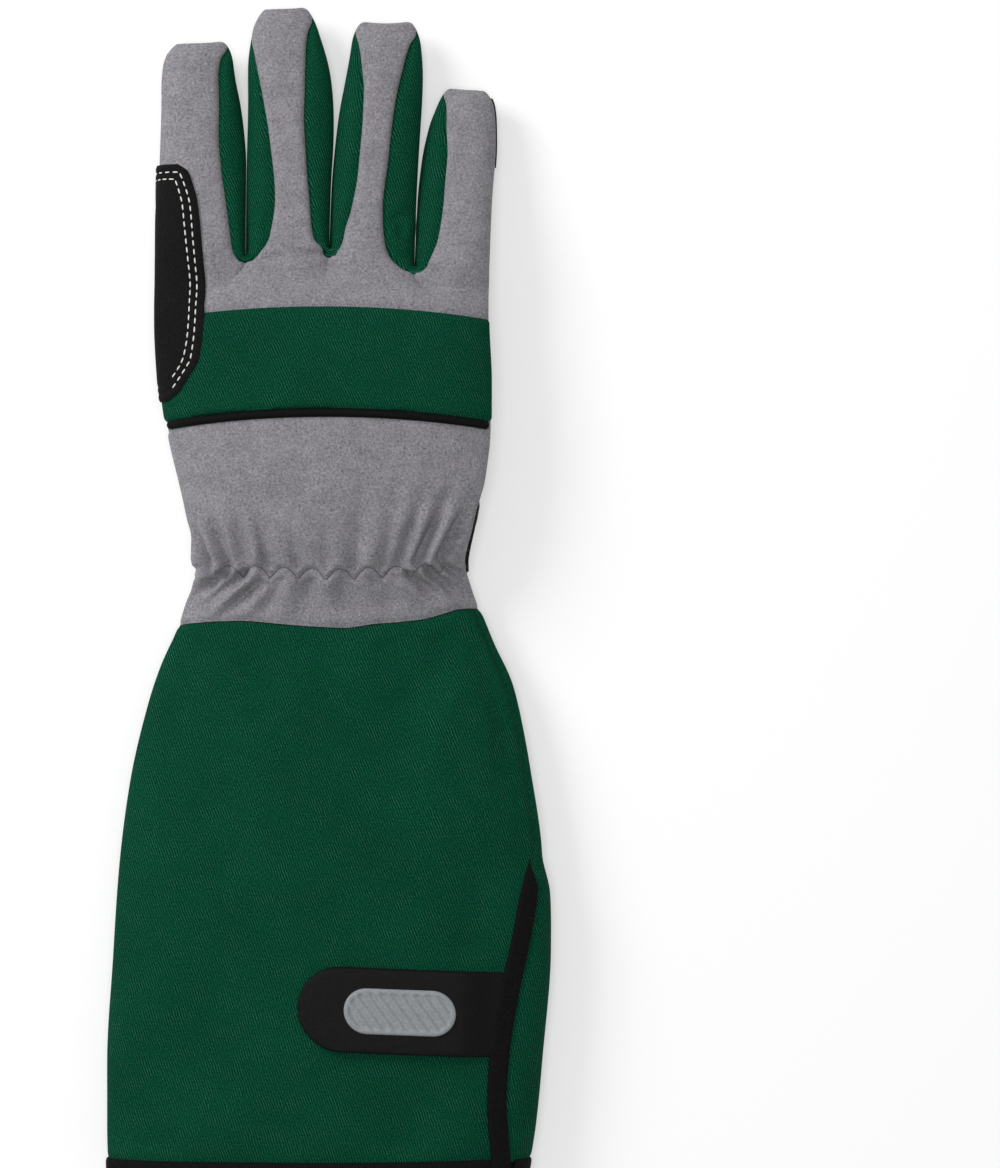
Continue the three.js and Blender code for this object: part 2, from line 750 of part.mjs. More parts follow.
// The palm side of the cuff, from its edge on the back round the little-finger side to the thumb side.
function cuffPalmRow(w, startShare) {
  const row = [];
  const start = domeAngle(startShare);
  for (let column = 0; column < FLAP_COLUMNS; column += 1) {
    const share = domeShare(start * (1 - column / FLAP_COLUMNS));
    row.push(cuffSkin.vertex(cuffPoint(share, w, true), liftAt(w), w === 0));
  }
  const shares = [];
  for (let column = 0; column <= CORNER_COLUMNS; column += 1) {
    const angle = (Math.PI / 2) * (column / CORNER_COLUMNS);
    shares.push(1 - (CORNER_SHARE * (1 - Math.cos(angle))) / 2);
  }
  for (let column = 1; column < FLOOR_COLUMNS; column += 1) {
    shares.push(blend(1 - CORNER_SHARE / 2, CORNER_SHARE / 2, column / FLOOR_COLUMNS));
  }
  for (let column = CORNER_COLUMNS; column >= 0; column -= 1) {
    const angle = (Math.PI / 2) * (column / CORNER_COLUMNS);
    shares.push((CORNER_SHARE * (1 - Math.cos(angle))) / 2);
  }
  shares.forEach((share, order) => {
    const lift = liftAt(w) * Math.max(0, 1 - (order + 1) / (CORNER_COLUMNS + 1));
    row.push(cuffSkin.vertex(cuffPoint(share, w, false), lift, w === 0));
  });
  return row;
}

const backStack = CUFF_ROWS.map(cuffBackRow);
const palmStack = CUFF_ROWS.map((w) => cuffPalmRow(w, w < LIFT_ROW ? SIDE_SEAM : bindingEnd(w)));
cuffSkin.grid('cuff_back', backStack.slice(0, -1), true);
cuffSkin.grid('cuff_palm', palmStack.slice(0, -1), true);
cuffSkin.grid('hem_binding_back', backStack.slice(-2), true);
cuffSkin.grid('hem_binding_palm', palmStack.slice(-2), true);

const bindingRows = CUFF_ROWS.filter((w) => w >= LIFT_ROW).map((w) => {
  const from = domeAngle(slitEdge(w));
  const to = domeAngle(bindingEnd(w));
  return [0, 0.5, 1].map((part) => {
    const share = domeShare(blend(from, to, part));
    return cuffSkin.vertex(cuffPoint(share, w, true), FLAP_LIFT);
  });
});
cuffSkin.grid('slit_binding', bindingRows, true);
cuffSkin.computeNormals();

// Thumb: a flat sack under the palm. Its two faces meet round its edge.
const thumbSkin = new Skin();

function thumbRow(row, side) {
  const left = HAND_WIDTH * row.left;
  const right = HAND_WIDTH * row.right;
  const half = (THUMB_THICKNESS * row.thick) / 2;
  const y = HAND_LENGTH * row.at;
  const line = [];
  for (let column = 0; column <= THUMB_COLUMNS; column += 1) {
    const angle = (Math.PI * column) / THUMB_COLUMNS;
    const across = -Math.cos(angle);
    const height = (1 - Math.abs(across) ** THUMB_POWER) ** (1 / THUMB_POWER);
    const x = blend(left, right, (across + 1) / 2);
    line.push(thumbSkin.vertex([x, y, THUMB_FLOOR * row.low + half + side * half * height]));
  }
  return line;
}

thumbSkin.grid('thumb_inner', THUMB.map((row) => thumbRow(row, 1)));
thumbSkin.grid('thumb_outer', THUMB.map((row) => thumbRow(row, -1)), true);
thumbSkin.computeNormals();

// Cuts and joins
function toManifold(geometry) {
  const plain = new THREE.BufferGeometry();
  plain.setAttribute('position', geometry.getAttribute('position').clone());
  if (geometry.index) {
    plain.setIndex(geometry.index.clone());
  }
  const merged = BufferGeometryUtils.mergeVertices(plain);
  return new wasm.Manifold(new wasm.Mesh({
    numProp: 3,
    vertProperties: new Float32Array(merged.getAttribute('position').array),
    triVerts: new Uint32Array(merged.index.array),
  }));
}

function fromManifold(solid) {
  const mesh = solid.getMesh();
  const geometry = new THREE.BufferGeometry();
  geometry.setAttribute('position', new THREE.BufferAttribute(mesh.vertProperties, 3));
  geometry.setIndex(new THREE.BufferAttribute(mesh.triVerts, 1));
  return geometry;
}

const PRISM_HEIGHT = 80;

function prism(points, low, high) {
  const shape = new THREE.Shape(points);
  const geometry = new THREE.ExtrudeGeometry(shape, { depth: high - low, bevelEnabled: false });
  geometry.translate(0, 0, low);
  geometry.deleteAttribute('normal');
  geometry.deleteAttribute('uv');
  return toManifold(geometry);
}

function outline(pairs) {
  const corners = pairs.map(([across, along]) => (
    new THREE.Vector3(across * HAND_WIDTH, along * HAND_LENGTH, 0)
  ));
  const curve = new THREE.CatmullRomCurve3(corners, true, 'centripetal');
  const points = curve.getPoints(pairs.length * OUTLINE_STEPS).slice(0, -1);
  return points.map((point) => new THREE.Vector2(point.x, point.y));
}

function holePoints(margin) {
  const points = [];
  for (let i = 0; i < THUMB_HOLE.points; i += 1) {
    const angle = (2 * Math.PI * i) / THUMB_HOLE.points;
    points.push(new THREE.Vector2(
      THUMB_HOLE.across * HAND_WIDTH + (THUMB_HOLE_WIDTH / 2 + margin) * Math.cos(angle),
      THUMB_HOLE.along * HAND_LENGTH + (THUMB_HOLE_LENGTH / 2 + margin) * Math.sin(angle),
    ));
  }
  return points;
}

const thumbHole = prism(holePoints(0), THUMB_FLOOR + THUMB_THICKNESS / 2, PALM_RISE + HAND_THICKNESS / 2);

function cutHole(geometry) {
  return fromManifold(toManifold(geometry).subtract(thumbHole));
}

// The seam that joins the thumb to the palm round their shared opening.
function thumbWelt() {
  const low = THUMB_FLOOR + THUMB_THICKNESS - WELT_DEPTH / 2;
  const ring = prism(holePoints(WELT_WIDTH), low, PALM_RISE + SUEDE_WALL).subtract(thumbHole);
  const palm = toManifold(skin.solid('palm_panel', WELT_DEPTH, GAP));
  const thumb = toManifold(thumbSkin.solid('thumb_inner', WELT_DEPTH, GAP));
  return fromManifold(ring.subtract(palm).subtract(thumb));
}

function palmPatch(name) {
  const layer = toManifold(skin.solid('palm_panel', PATCH_WALL, GAP + PATCH_WALL));
  return fromManifold(layer.intersect(prism(outline(PATCHES[name]), -PRISM_HEIGHT, PALM_RISE + GAP)));
}

// Fingertip patches
function fingertipPatch(finger) {
  const own = new Skin();
  const from = 1 - finger.patch;
  const rows = fineRows(from, TIP_PATCH_END, TIP_PATCH_ROWS).map((t) => {
    const row = [];
    for (let column = 0; column <= FINGER_COLUMNS; column += 1) {
      row.push(own.vertex(fingerPoint(finger, TIP_PATCH_REACH * fingerAcross(column), t, -1)));
    }
    return row;
  });
  own.grid('patch', rows, true);
  own.computeNormals();
  return own.solid('patch', PATCH_WALL, 2 * GAP + PATCH_WALL);
}

// Column of the hand whose distance from the thumb-side edge is the given one.
const SEARCH_STEPS = 24;

function columnAtReach(reach, v, isBack) {
  const edge = columnPoint(0, v, isBack)[0];
  let low = 0;
  let high = FINGER_COLUMNS;
  for (let step = 0; step < SEARCH_STEPS; step += 1) {
    const middle = (low + high) / 2;
    if (columnPoint(middle, v, isBack)[0] - edge < reach) {
      low = middle;
    } else {
      high = middle;
    }
  }
  return low;
}

function webPoint(at, reach, isBack) {
  const index = FINGERS[0];
  const onHand = (1 - WEB_BOTTOM) * HAND_LENGTH;
  const along = at * (onHand + WEB_TOP * index.length);
  if (along < onHand) {
    const v = WEB_BOTTOM + along / HAND_LENGTH;
    return columnPoint(columnAtReach(reach, v, isBack), v, isBack);
  }
  const t = (along - onHand) / index.length;
  const shape = fingerShape(index, t);
  const across = (2 * reach) / (shape.leftSeam + shape.rightSeam) - 1;
  return fingerPoint(index, across, t, isBack ? 1 : -1);
}

function webSide() {
  const own = new Skin();
  const rows = WEB_SIDE.map((row) => {
    const line = [];
    for (let column = WEB_COLUMNS; column > 0; column -= 1) {
      line.push(own.vertex(webPoint(row.at, HAND_WIDTH * row.back * (column / WEB_COLUMNS) ** 2, true)));
    }
    for (let column = 0; column <= WEB_COLUMNS; column += 1) {
      line.push(own.vertex(webPoint(row.at, HAND_WIDTH * row.palm * (column / WEB_COLUMNS) ** 2, false)));
    }
    return line;
  });
  own.grid('patch', rows, true);
  own.computeNormals();
  return own.solid('patch', PATCH_WALL, 2 * GAP + PATCH_WALL);
}

function webThumb() {
  const layer = toManifold(thumbSkin.solid('thumb_outer', PATCH_WALL, GAP + PATCH_WALL));
  const cutter = prism(outline(WEB_THUMB), -PRISM_HEIGHT, THUMB_FLOOR + THUMB_THICKNESS / 2 - GAP);
  return fromManifold(layer.intersect(cutter));
}

// Strap, its pad and its badge lie on the back of the cuff beside the slit.
function cuffBackAt(x, y) {
  const w = (seamY(x) - y) / (seamY(x) + CUFF_LENGTH);
  const section = cuffSection(w);
  return cuffPoint((x - section.left) / (section.right - section.left), w, true);
}

function slitX(y) {
  const w = -y / CUFF_LENGTH;
  const section = cuffSection(w);
  return blend(section.left, section.right, slitEdge(w));
}

const STRAP_END = slitX(-STRAP_FROM_SEAM) - STRAP_LENGTH;
const STRAP_ROWS = 6;
const STRAP_COLUMNS = 12;
const BADGE_COLUMNS = 6;
const PAD_COLUMNS = 5;

function strapY(x, offset) {
  return -STRAP_FROM_SEAM + STRAP_TILT * (x - STRAP_END) + offset;
}

// A flat piece on the cuff. ends gives its left and right end for each place across, from -1 to 1.
function cuffOverlay(width, columns, ends, wall, raise) {
  const own = new Skin();
  const rows = [];
  for (let i = 0; i <= STRAP_ROWS; i += 1) {
    const across = -Math.cos((Math.PI * i) / STRAP_ROWS);
    const [from, to] = ends(across);
    rows.push(fineRows(from, to, columns).map((x) => (
      own.vertex(cuffBackAt(x, strapY(x, (across * width) / 2)))
    )));
  }
  own.grid('overlay', rows);
  own.computeNormals();
  return own.solid('overlay', wall, raise);
}

function roundEnd(across, radius) {
  return radius * (1 - Math.sqrt(Math.max(0, 1 - across * across)));
}

function strapEnds(across) {
  const y = strapY(STRAP_END + STRAP_LENGTH, (across * STRAP_WIDTH) / 2);
  return [STRAP_END + roundEnd(across, STRAP_WIDTH / 2), slitX(y) - 2 * GAP];
}

function badgeEnds(across) {
  const from = STRAP_END + BADGE_INSET;
  const round = roundEnd(across, BADGE_WIDTH / 2);
  return [from + round, from + BADGE_LENGTH - round];
}

function padEnds() {
  return [STRAP_END + PAD_INSET, STRAP_END + PAD_INSET + PAD_LENGTH];
}

const PAD_RAISE = GAP + PAD_WALL;
const STRAP_RAISE = PAD_RAISE + GAP + STRAP_WALL;
const BADGE_RAISE = STRAP_RAISE + GAP + BADGE_WALL;

// Materials
function material(color, roughness) {
  return new THREE.MeshStandardMaterial({ color, roughness, metalness: 0 });
}

const suede = material(0x8e8c90, 0.95);
const twill = material(0x0b4a2e, 0.9);
const tape = material(0x161616, 0.8);
const patchLeather = material(0x1a1a1a, 0.7);
const strapRubber = material(0x202022, 0.6);
const badgeGrey = material(0x8a8c90, 0.5);

const group = new THREE.Group();

function add(name, geometry, finish) {
  const mesh = new THREE.Mesh(geometry, finish);
  mesh.name = name;
  group.add(mesh);
}

add('hand_back', skin.solid('hand_back', SUEDE_WALL), suede);
add('knuckle_band', skin.solid('knuckle_band', TWILL_WALL), twill);
add('band_piping', skin.solid('band_piping', TWILL_WALL + PIPING_PROUD, PIPING_PROUD, GAP), tape);
add('wrist_back', skin.solid('wrist_back', SUEDE_WALL, 0, GAP), suede);
add('palm_panel', cutHole(skin.solid('palm_panel', SUEDE_WALL)), suede);
for (const name of skin.panels.keys()) {
  if (name.startsWith('fourchette')) {
    add(name, skin.solid(name, TWILL_WALL, 0, GAP), twill);
  }
}
add('thumb_outer', thumbSkin.solid('thumb_outer', SUEDE_WALL, 0, GAP), suede);
add('thumb_inner', cutHole(thumbSkin.solid('thumb_inner', SUEDE_WALL)), suede);
add('thumb_welt', thumbWelt(), suede);
add('cuff_back', cuffSkin.solid('cuff_back', TWILL_WALL, 0, GAP), twill);
add('cuff_palm', cuffSkin.solid('cuff_palm', TWILL_WALL, 0, GAP), twill);
add('slit_binding', cuffSkin.solid('slit_binding', TWILL_WALL + BINDING_EXTRA, BINDING_EXTRA), tape);
add('hem_binding_back', cuffSkin.solid('hem_binding_back', TWILL_WALL), tape);
add('hem_binding_palm', cuffSkin.solid('hem_binding_palm', TWILL_WALL), tape);
for (const name of Object.keys(PATCHES)) {
  add(name, palmPatch(name), patchLeather);
}
for (const finger of FINGERS) {
  add(`fingertip_patch_${finger.name}`, fingertipPatch(finger), patchLeather);
}
add('web_patch_index', webSide(), patchLeather);
add('web_patch_thumb', webThumb(), patchLeather);
add('hook_pad', cuffOverlay(PAD_WIDTH, PAD_COLUMNS, padEnds, PAD_WALL, PAD_RAISE), tape);
add('strap', cuffOverlay(STRAP_WIDTH, STRAP_COLUMNS, strapEnds, STRAP_WALL, STRAP_RAISE), strapRubber);
add('strap_badge', cuffOverlay(BADGE_WIDTH, BADGE_COLUMNS, badgeEnds, BADGE_WALL, BADGE_RAISE), badgeGrey);

// The origin lies in the middle of the glove's footprint, on the surface that it rests on.
const box = new THREE.Box3().setFromObject(group);
group.position.set(-(box.min.x + box.max.x) / 2, -(box.min.y + box.max.y) / 2, -box.min.z);

export default group;
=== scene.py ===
# Rose pruning gauntlet: a right-hand glove lying on its palm, with the thumb folded under it.
# Shapes are worked out in millimetres round the middle of the wrist seam, with the fingers
# towards +Y and the back of the hand up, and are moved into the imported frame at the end.
import math

import bmesh
import bpy
import numpy as np
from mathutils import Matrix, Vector
from mathutils.bvhtree import BVHTree
from mathutils.geometry import delaunay_2d_cdt
from mathutils.kdtree import KDTree


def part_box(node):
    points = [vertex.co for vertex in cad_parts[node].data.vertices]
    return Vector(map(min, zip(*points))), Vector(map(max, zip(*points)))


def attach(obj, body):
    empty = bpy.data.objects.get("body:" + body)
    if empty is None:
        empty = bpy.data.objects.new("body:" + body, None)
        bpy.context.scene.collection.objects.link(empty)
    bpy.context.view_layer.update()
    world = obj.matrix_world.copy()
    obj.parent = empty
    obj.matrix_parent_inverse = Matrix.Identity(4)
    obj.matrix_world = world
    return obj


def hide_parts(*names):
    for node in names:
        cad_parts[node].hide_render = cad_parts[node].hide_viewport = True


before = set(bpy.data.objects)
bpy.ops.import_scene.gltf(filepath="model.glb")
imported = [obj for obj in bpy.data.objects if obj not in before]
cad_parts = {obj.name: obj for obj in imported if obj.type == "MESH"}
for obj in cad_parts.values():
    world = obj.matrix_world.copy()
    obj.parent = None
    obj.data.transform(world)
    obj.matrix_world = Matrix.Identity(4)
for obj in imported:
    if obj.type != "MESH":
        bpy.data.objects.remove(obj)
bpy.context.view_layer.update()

MM = 0.001
TINY = 1e-9

# Sizes of the hand
HAND_WIDTH = 117
HAND_LENGTH = 129.5
HAND_THICKNESS = 20
FINGER_HEIGHT = 16
THUMB_THICKNESS = 10
THUMB_FLOOR = 1.7
PALM_RISE = 14
INDEX_LENGTH = 79.3
MIDDLE_LENGTH = 90.3
RING_LENGTH = 87.1
LITTLE_LENGTH = 66.5
CROTCH_BULGE = 3

# Sizes of the cuff
CUFF_LENGTH = 198
CUFF_WIDTH = 153
CUFF_THICKNESS = 30
BINDING_WIDTH = 7
HEM_WIDTH = 7.5

# Walls and clearances
SUEDE_WALL = 1.3
TWILL_WALL = 1.1
PATCH_WALL = 1
TAPE_WALL = 0.6
GAP = 0.3

# Closing strap, its pad and its badge
STRAP_WIDTH = 30
STRAP_LENGTH = 70
STRAP_WALL = 1.8
STRAP_FROM_SEAM = 135
STRAP_TILT = -0.045
PAD_LENGTH = 44
PAD_WIDTH = 22
PAD_WALL = 1.2
PAD_INSET = 8
BADGE_LENGTH = 39
BADGE_WIDTH = 16
BADGE_WALL = 0.8
BADGE_INSET = 16

# Shape of the cross sections
DOME_POWER = 2.2
CORNER_SHARE = 0.25
EDGE_SHARE = 0.45

# Photo scale: where the middle of the wrist seam lies in it, and millimetres for each pixel
PHOTO_SEAM_X = 327.5
PHOTO_SEAM_Y = 622
PHOTO_SCALE = 0.355
PHOTO_WIDTH = 1000
PHOTO_HEIGHT = 1168


def table(names, *rows):
    """A table with named columns, one row for each place."""
    return dict(zip(names.split(), np.array(rows, float).T))


# Outline and height of the hand from the wrist seam at 0 to the finger crotches at 1
HAND = table(
    "at left right floor thick thumb_edge",
    (0, 0.456, 0.462, 0, 1, 0.45),
    (0.06, 0.435, 0.441, 0.22, 0.9, 0.36),
    (0.13, 0.403, 0.424, 0.6, 0.84, 0.22),
    (0.225, 0.414, 0.441, 0.9, 0.9, 0.17),
    (0.307, 0.432, 0.462, 1, 0.98, 0.15),
    (0.39, 0.453, 0.483, 1, 1.04, 0.15),
    (0.526, 0.486, 0.499, 1, 1.06, 0.18),
    (0.65, 0.503, 0.5, 1, 1.02, 0.3),
    (0.82, 0.511, 0.493, 1, 0.94, 0.45),
    (1, 0.511, 0.495, 0.84, 0.8, 0.5),
)

# Wrist seam: its rise above the middle, as shares of HAND_WIDTH
SEAM = table(
    "at rise",
    (-0.475, -0.014), (-0.43, -0.005), (-0.27, 0.003), (-0.1, -0.01), (0.05, -0.018), (0.14, -0.007),
    (0.28, 0.006), (0.36, 0.026), (0.4, 0.038), (0.462, 0.042),
)

# Outline and height of the cuff from the wrist seam at 0 to the hem at 1
CUFF = table(
    "at left right thick",
    (0, 0.349, 0.353, 0.667),
    (0.068, 0.389, 0.391, 0.75),
    (0.14, 0.419, 0.432, 0.82),
    (0.283, 0.461, 0.474, 0.92),
    (0.427, 0.484, 0.5, 0.98),
    (0.6, 0.499, 0.507, 1),
    (0.785, 0.512, 0.488, 1),
    (0.9, 0.512, 0.474, 1),
    (1, 0.508, 0.45, 1),
)

# Edge of the slit on the back, as a share of the cuff's width at that height
SLIT = table(
    "at edge",
    (0.409, 0.985), (0.5, 0.937), (0.572, 0.921), (0.64, 0.899), (0.8, 0.885), (0.87, 0.887),
    (0.93, 0.905), (1, 0.93),
)
SLIT_TOP = SLIT["at"][0]
SIDE_SEAM = SLIT["edge"][0]

# Finger height from the crotch at 0 to where the tip rounds off, and the height of a side strip
# from the crotch at 0 to its own end at 1
FINGER = table(
    "at height",
    (0, 1), (0.07, 1), (0.2, 0.98), (0.4, 0.96), (0.6, 0.93), (0.75, 0.88), (1, 0.82),
)
STRIP = table(
    "at height",
    (0, 0.72), (0.07, 0.78), (0.2, 0.8), (0.6, 0.8), (0.8, 0.74), (0.92, 0.55), (1, 0),
)
TIP_START = 0.75
CORNER_START = 0.9
CORNER = 0.26
WEB_LENGTH = 0.07
STRIP_MERGE = 0.06
STRIP_GAP = 0.06
STRIP_LEAN = 0.16
BULGE_END = 0.03
TIP_DOWN = 0.9

# Fingers from the thumb side. start and end are shares of the hand's width, and the drops say how
# far each crotch lies below the highest one. outline gives the width as a share of the root's and
# how far the middle shifts, as a share of HAND_WIDTH. Each strip gives its seam's distance from the
# middle, as a share of half the root's width, up to the strip's end; an outer side has no strip.
FINGERS = [
    dict(
        name="index", length=INDEX_LENGTH, patch=0.31, start=0, end=0.265,
        start_drop=0.0193, end_drop=0.0193,
        outline=table(
            "at width shift", (0, 1, 0), (0.45, 1, 0), (0.556, 0.975, -0.002), (0.735, 0.91, -0.01),
            (0.825, 0.86, -0.017), (0.914, 0.81, -0.018), (0.96, 0.76, -0.014), (1, 0.72, -0.01),
        ),
        left=None,
        right=table(
            "at seam", (0, 0.78), (0.065, 0.74), (0.288, 0.58), (0.42, 0.48), (0.556, 0.43),
            (0.735, 0.49), (0.914, 0.54), (0.975, 0.55),
        ),
    ),
    dict(
        name="middle", length=MIDDLE_LENGTH, patch=0.53, start=0.265, end=0.515,
        start_drop=0.0193, end_drop=0,
        outline=table(
            "at width shift", (0, 1, 0), (0.3, 1.025, 0.0032), (0.45, 1.045, 0.007), (0.56, 1.04, 0.008),
            (0.7, 1.01, 0.004), (0.79, 0.96, -0.003), (0.868, 0.85, -0.008), (0.946, 0.74, -0.012),
            (1, 0.68, -0.014),
        ),
        left=table(
            "at seam", (0, 0.7), (0.04, 0.62), (0.1, 0.45), (0.24, 0.34), (0.476, 0.52), (0.633, 0.68),
            (0.79, 0.8), (0.88, 0.82),
        ),
        right=table(
            "at seam", (0, 0.95), (0.08, 0.66), (0.24, 0.55), (0.4, 0.44), (0.555, 0.37), (0.7, 0.42),
            (0.79, 0.48), (0.868, 0.54), (0.96, 0.64),
        ),
    ),
    dict(
        name="ring", length=RING_LENGTH, patch=0.5, start=0.515, end=0.771,
        start_drop=0, end_drop=0.0494,
        outline=table(
            "at width shift", (0, 1, 0), (0.3, 1, 0.007), (0.433, 0.99, 0.013), (0.597, 0.97, 0.023),
            (0.783, 0.9, 0.038), (0.877, 0.84, 0.042), (0.95, 0.79, 0.042), (1, 0.76, 0.042),
        ),
        left=table(
            "at seam", (0, 0.75), (0.11, 0.66), (0.19, 0.54), (0.355, 0.42), (0.52, 0.41), (0.68, 0.46),
            (0.84, 0.62), (0.96, 0.7),
        ),
        right=table(
            "at seam", (0, 0.7), (0.1, 0.36), (0.19, 0.28), (0.273, 0.26), (0.433, 0.32), (0.68, 0.36),
            (0.84, 0.49), (0.965, 0.68),
        ),
    ),
    dict(
        name="little", length=LITTLE_LENGTH, patch=0.42, start=0.771, end=1,
        start_drop=0.0494, end_drop=0.0494,
        outline=table(
            "at width shift", (0, 1, 0), (0.2, 1, 0.0042), (0.4, 1, 0.009), (0.615, 0.985, 0.02),
            (0.829, 0.87, 0.034), (0.935, 0.73, 0.043), (1, 0.66, 0.042),
        ),
        left=table(
            "at seam", (0, 0.75), (0.08, 0.62), (0.187, 0.44), (0.4, 0.34), (0.615, 0.35), (0.8, 0.48),
            (0.97, 0.57),
        ),
        right=None,
    ),
]
STRIP_SEAMS = [finger[side] for finger in FINGERS for side in ("left", "right") if finger[side]]

# Thumb outline from the wrist, in the hand's own shares
THUMB = table(
    "at left right thick low",
    (0.08, -0.36, 0.01, 0, 1),
    (0.1, -0.38, 0.045, 0.48, 0.1),
    (0.15, -0.395, 0.09, 0.7, 0.4),
    (0.22, -0.405, 0.125, 0.88, 0.8),
    (0.33, -0.43, 0.177, 1, 1),
    (0.46, -0.465, 0.238, 1, 1),
    (0.53, -0.465, 0.268, 1, 1),
    (0.58, -0.4, 0.292, 1, 1),
    (0.64, -0.265, 0.322, 1, 1),
    (0.72, -0.092, 0.35, 1, 1),
    (0.8, 0.074, 0.359, 0.95, 1),
    (0.87, 0.153, 0.335, 0.8, 1),
    (0.905, 0.195, 0.298, 0.56, 1.2),
    (0.925, 0.225, 0.268, 0, 2.6),
)
THUMB_POWER = 3

# Lines across the back of the hand
BAND_TOP = 0.857
PIPING_TOP = 0.58
PIPING_BOTTOM = 0.556
LINE_BOW = 0.034
BOW_FADE = 0.3
WAVE_END = 0.5
ROOT_BLEND = 0.86

# Gathers of the wrist
FLUTES = 8
FLUTE_DEPTH = 0.8
FLUTE_FADE = table(
    "at share",
    (0, 0.35), (0.06, 0.8), (0.12, 1), (0.25, 0.45), (0.4, 0.1), (0.55, 0),
)
WRIST_CLUSTER = 0.035
ELASTIC = 17.8
ELASTIC_FOLLOWS = 0.5
ELASTIC_SWING = 2.1
PUCKER_PERIOD = 9.9
PUCKER_DEPTH = 2.6
PUCKER_SOFT = 0.03
FAN_UP = 0.012
FAN_DOWN = 0.03
REACH_UP = (7, 26)
REACH_DOWN = (5, 13)
WRIST_DEEPER = 1.9


def folds(*rows):
    """Folds in the photo's own pixels: each runs from its deep end to where it fades out.

    Width and depth are in millimetres, and a ridge has a negative depth.
    """
    return table("x0 y0 x1 y1 width depth", *rows)


WRIST_FOLDS = folds(
    (214, 572, 190, 520, 1.5, 1.2),
    (232, 570, 206, 500, 1.6, 1),
    (250, 568, 238, 505, 1.8, 0.6),
    (398, 568, 432, 480, 1.8, 0.8),
    (418, 562, 455, 480, 1.6, 1.1),
    (438, 560, 474, 495, 1.5, 1),
    (230, 572, 178, 606, 1.5, 1.5),
    (247, 573, 186, 618, 1.5, 1.5),
    (264, 582, 214, 620, 1.7, 0.9),
    (406, 574, 456, 604, 1.6, 1.3),
    (426, 568, 472, 602, 1.5, 1.4),
    (442, 564, 476, 590, 1.3, 1.1),
)
HAND_FOLDS = folds(
    (262, 262, 300, 259, 1.1, 0.7),
    (335, 255, 290, 260, 1.1, 0.8),
    (425, 270, 448, 280, 1.2, 0.6),
    (238, 262, 222, 282, 3, 0.4),
    (428, 275, 436, 300, 4, 0.4),
    (330, 258, 334, 300, 6, 0.4),
)
STRIP_FOLDS = folds(
    (268, 236, 273, 214, 1.2, 0.7),
    (392, 219, 410, 221, 1.2, 0.8),
    (402, 240, 398, 218, 1.4, 0.7),
)
CUFF_FOLDS = folds(
    (452, 632, 385, 760, 8, 1.8),
    (398, 630, 372, 700, 6, 1.2),
    (330, 632, 340, 800, 10, 1),
    (262, 634, 240, 800, 9, 1.1),
    (200, 632, 172, 800, 8, 1.3),
    (480, 640, 520, 800, 5, 1.1),
    (470, 700, 440, 900, 12, -1.1),
    (300, 900, 330, 720, 16, -1),
    (200, 1100, 215, 850, 12, 0.9),
    (410, 1155, 400, 1070, 9, 0.9),
    (300, 1155, 285, 1075, 10, 0.8),
    (160, 1155, 150, 1000, 10, 0.8),
    (470, 950, 490, 830, 7, 0.9),
)
PALM_FOLDS = folds(
    (410, 500, 395, 620, 3, 0.9),
    (440, 520, 430, 630, 2.6, 0.8),
    (300, 560, 290, 630, 4, 0.6),
    (470, 480, 480, 620, 2.5, 0.8),
    (215, 300, 215, 380, 3, 0.5),
)

# Seams: how deep a sheet dips at its edge and how far in
SEAM_DEPTH = 0.8
SEAM_REACH = 1.5
EDGE_INSET = 0.03
FLUSH_FROM = 2
FLUSH_TO = 12

# Patch outlines on the palm: across is a share of HAND_WIDTH, along of HAND_LENGTH
PATCHES = {
    "palm_patch_upper": [
        (-0.33, 0.93), (-0.27, 0.93), (-0.22, 0.865), (-0.15, 0.92), (-0.09, 0.965), (-0.03, 0.93),
        (0.04, 0.885), (0.12, 0.935), (0.18, 0.965), (0.25, 0.92), (0.27, 0.84), (0.2, 0.8),
        (0.04, 0.79), (-0.1, 0.7), (-0.19, 0.6), (-0.27, 0.66), (-0.33, 0.79),
    ],
    "palm_patch_outer": [
        (0.34, 0.9), (0.4, 0.955), (0.46, 0.93), (0.47, 0.8), (0.465, 0.55), (0.455, 0.3),
        (0.44, 0.16), (0.4, 0.12), (0.36, 0.17), (0.3, 0.3), (0.23, 0.44), (0.25, 0.6), (0.3, 0.78),
    ],
    "palm_patch_heel": [
        (0.19, 0.42), (0.215, 0.3), (0.222, 0.17), (0.19, 0.1), (0.13, 0.09), (0.08, 0.13),
        (0.08, 0.26), (0.08, 0.4), (0.13, 0.48),
    ],
}
WEB_THUMB = [
    (-0.405, 0.62), (-0.4, 0.5), (-0.33, 0.465), (-0.2, 0.465), (-0.09, 0.495), (0, 0.57),
    (0.085, 0.68), (0.12, 0.78), (0.1, 0.88), (0, 0.84), (-0.2, 0.72),
]

# Patch along the index side: how far it reaches over the back and over the palm
WEB_SIDE = table(
    "at back palm",
    (0, 0.02, 0.115),
    (0.03, 0.055, 0.118),
    (0.09, 0.09, 0.116),
    (0.176, 0.13, 0.115),
    (0.3, 0.145, 0.11),
    (0.469, 0.15, 0.097),
    (0.678, 0.138, 0.05),
    (0.845, 0.124, 0.018),
    (0.93, 0.106, 0.012),
    (0.97, 0.094, 0.01),
    (1, 0.064, 0.01),
)
WEB_BOTTOM = 0.6
WEB_TOP = 0.435
TIP_PATCH_REACH = 0.9
TIP_PATCH_END = 0.945

# Stitches: thread size, spacing, and how far the two rows lie from a patch's edge
STITCH_LENGTH = 2.3
STITCH_PITCH = 3.1
STITCH_RADIUS = 0.3
STITCH_ROWS = (2.9, 5.4)
QUILT_INSET = 10

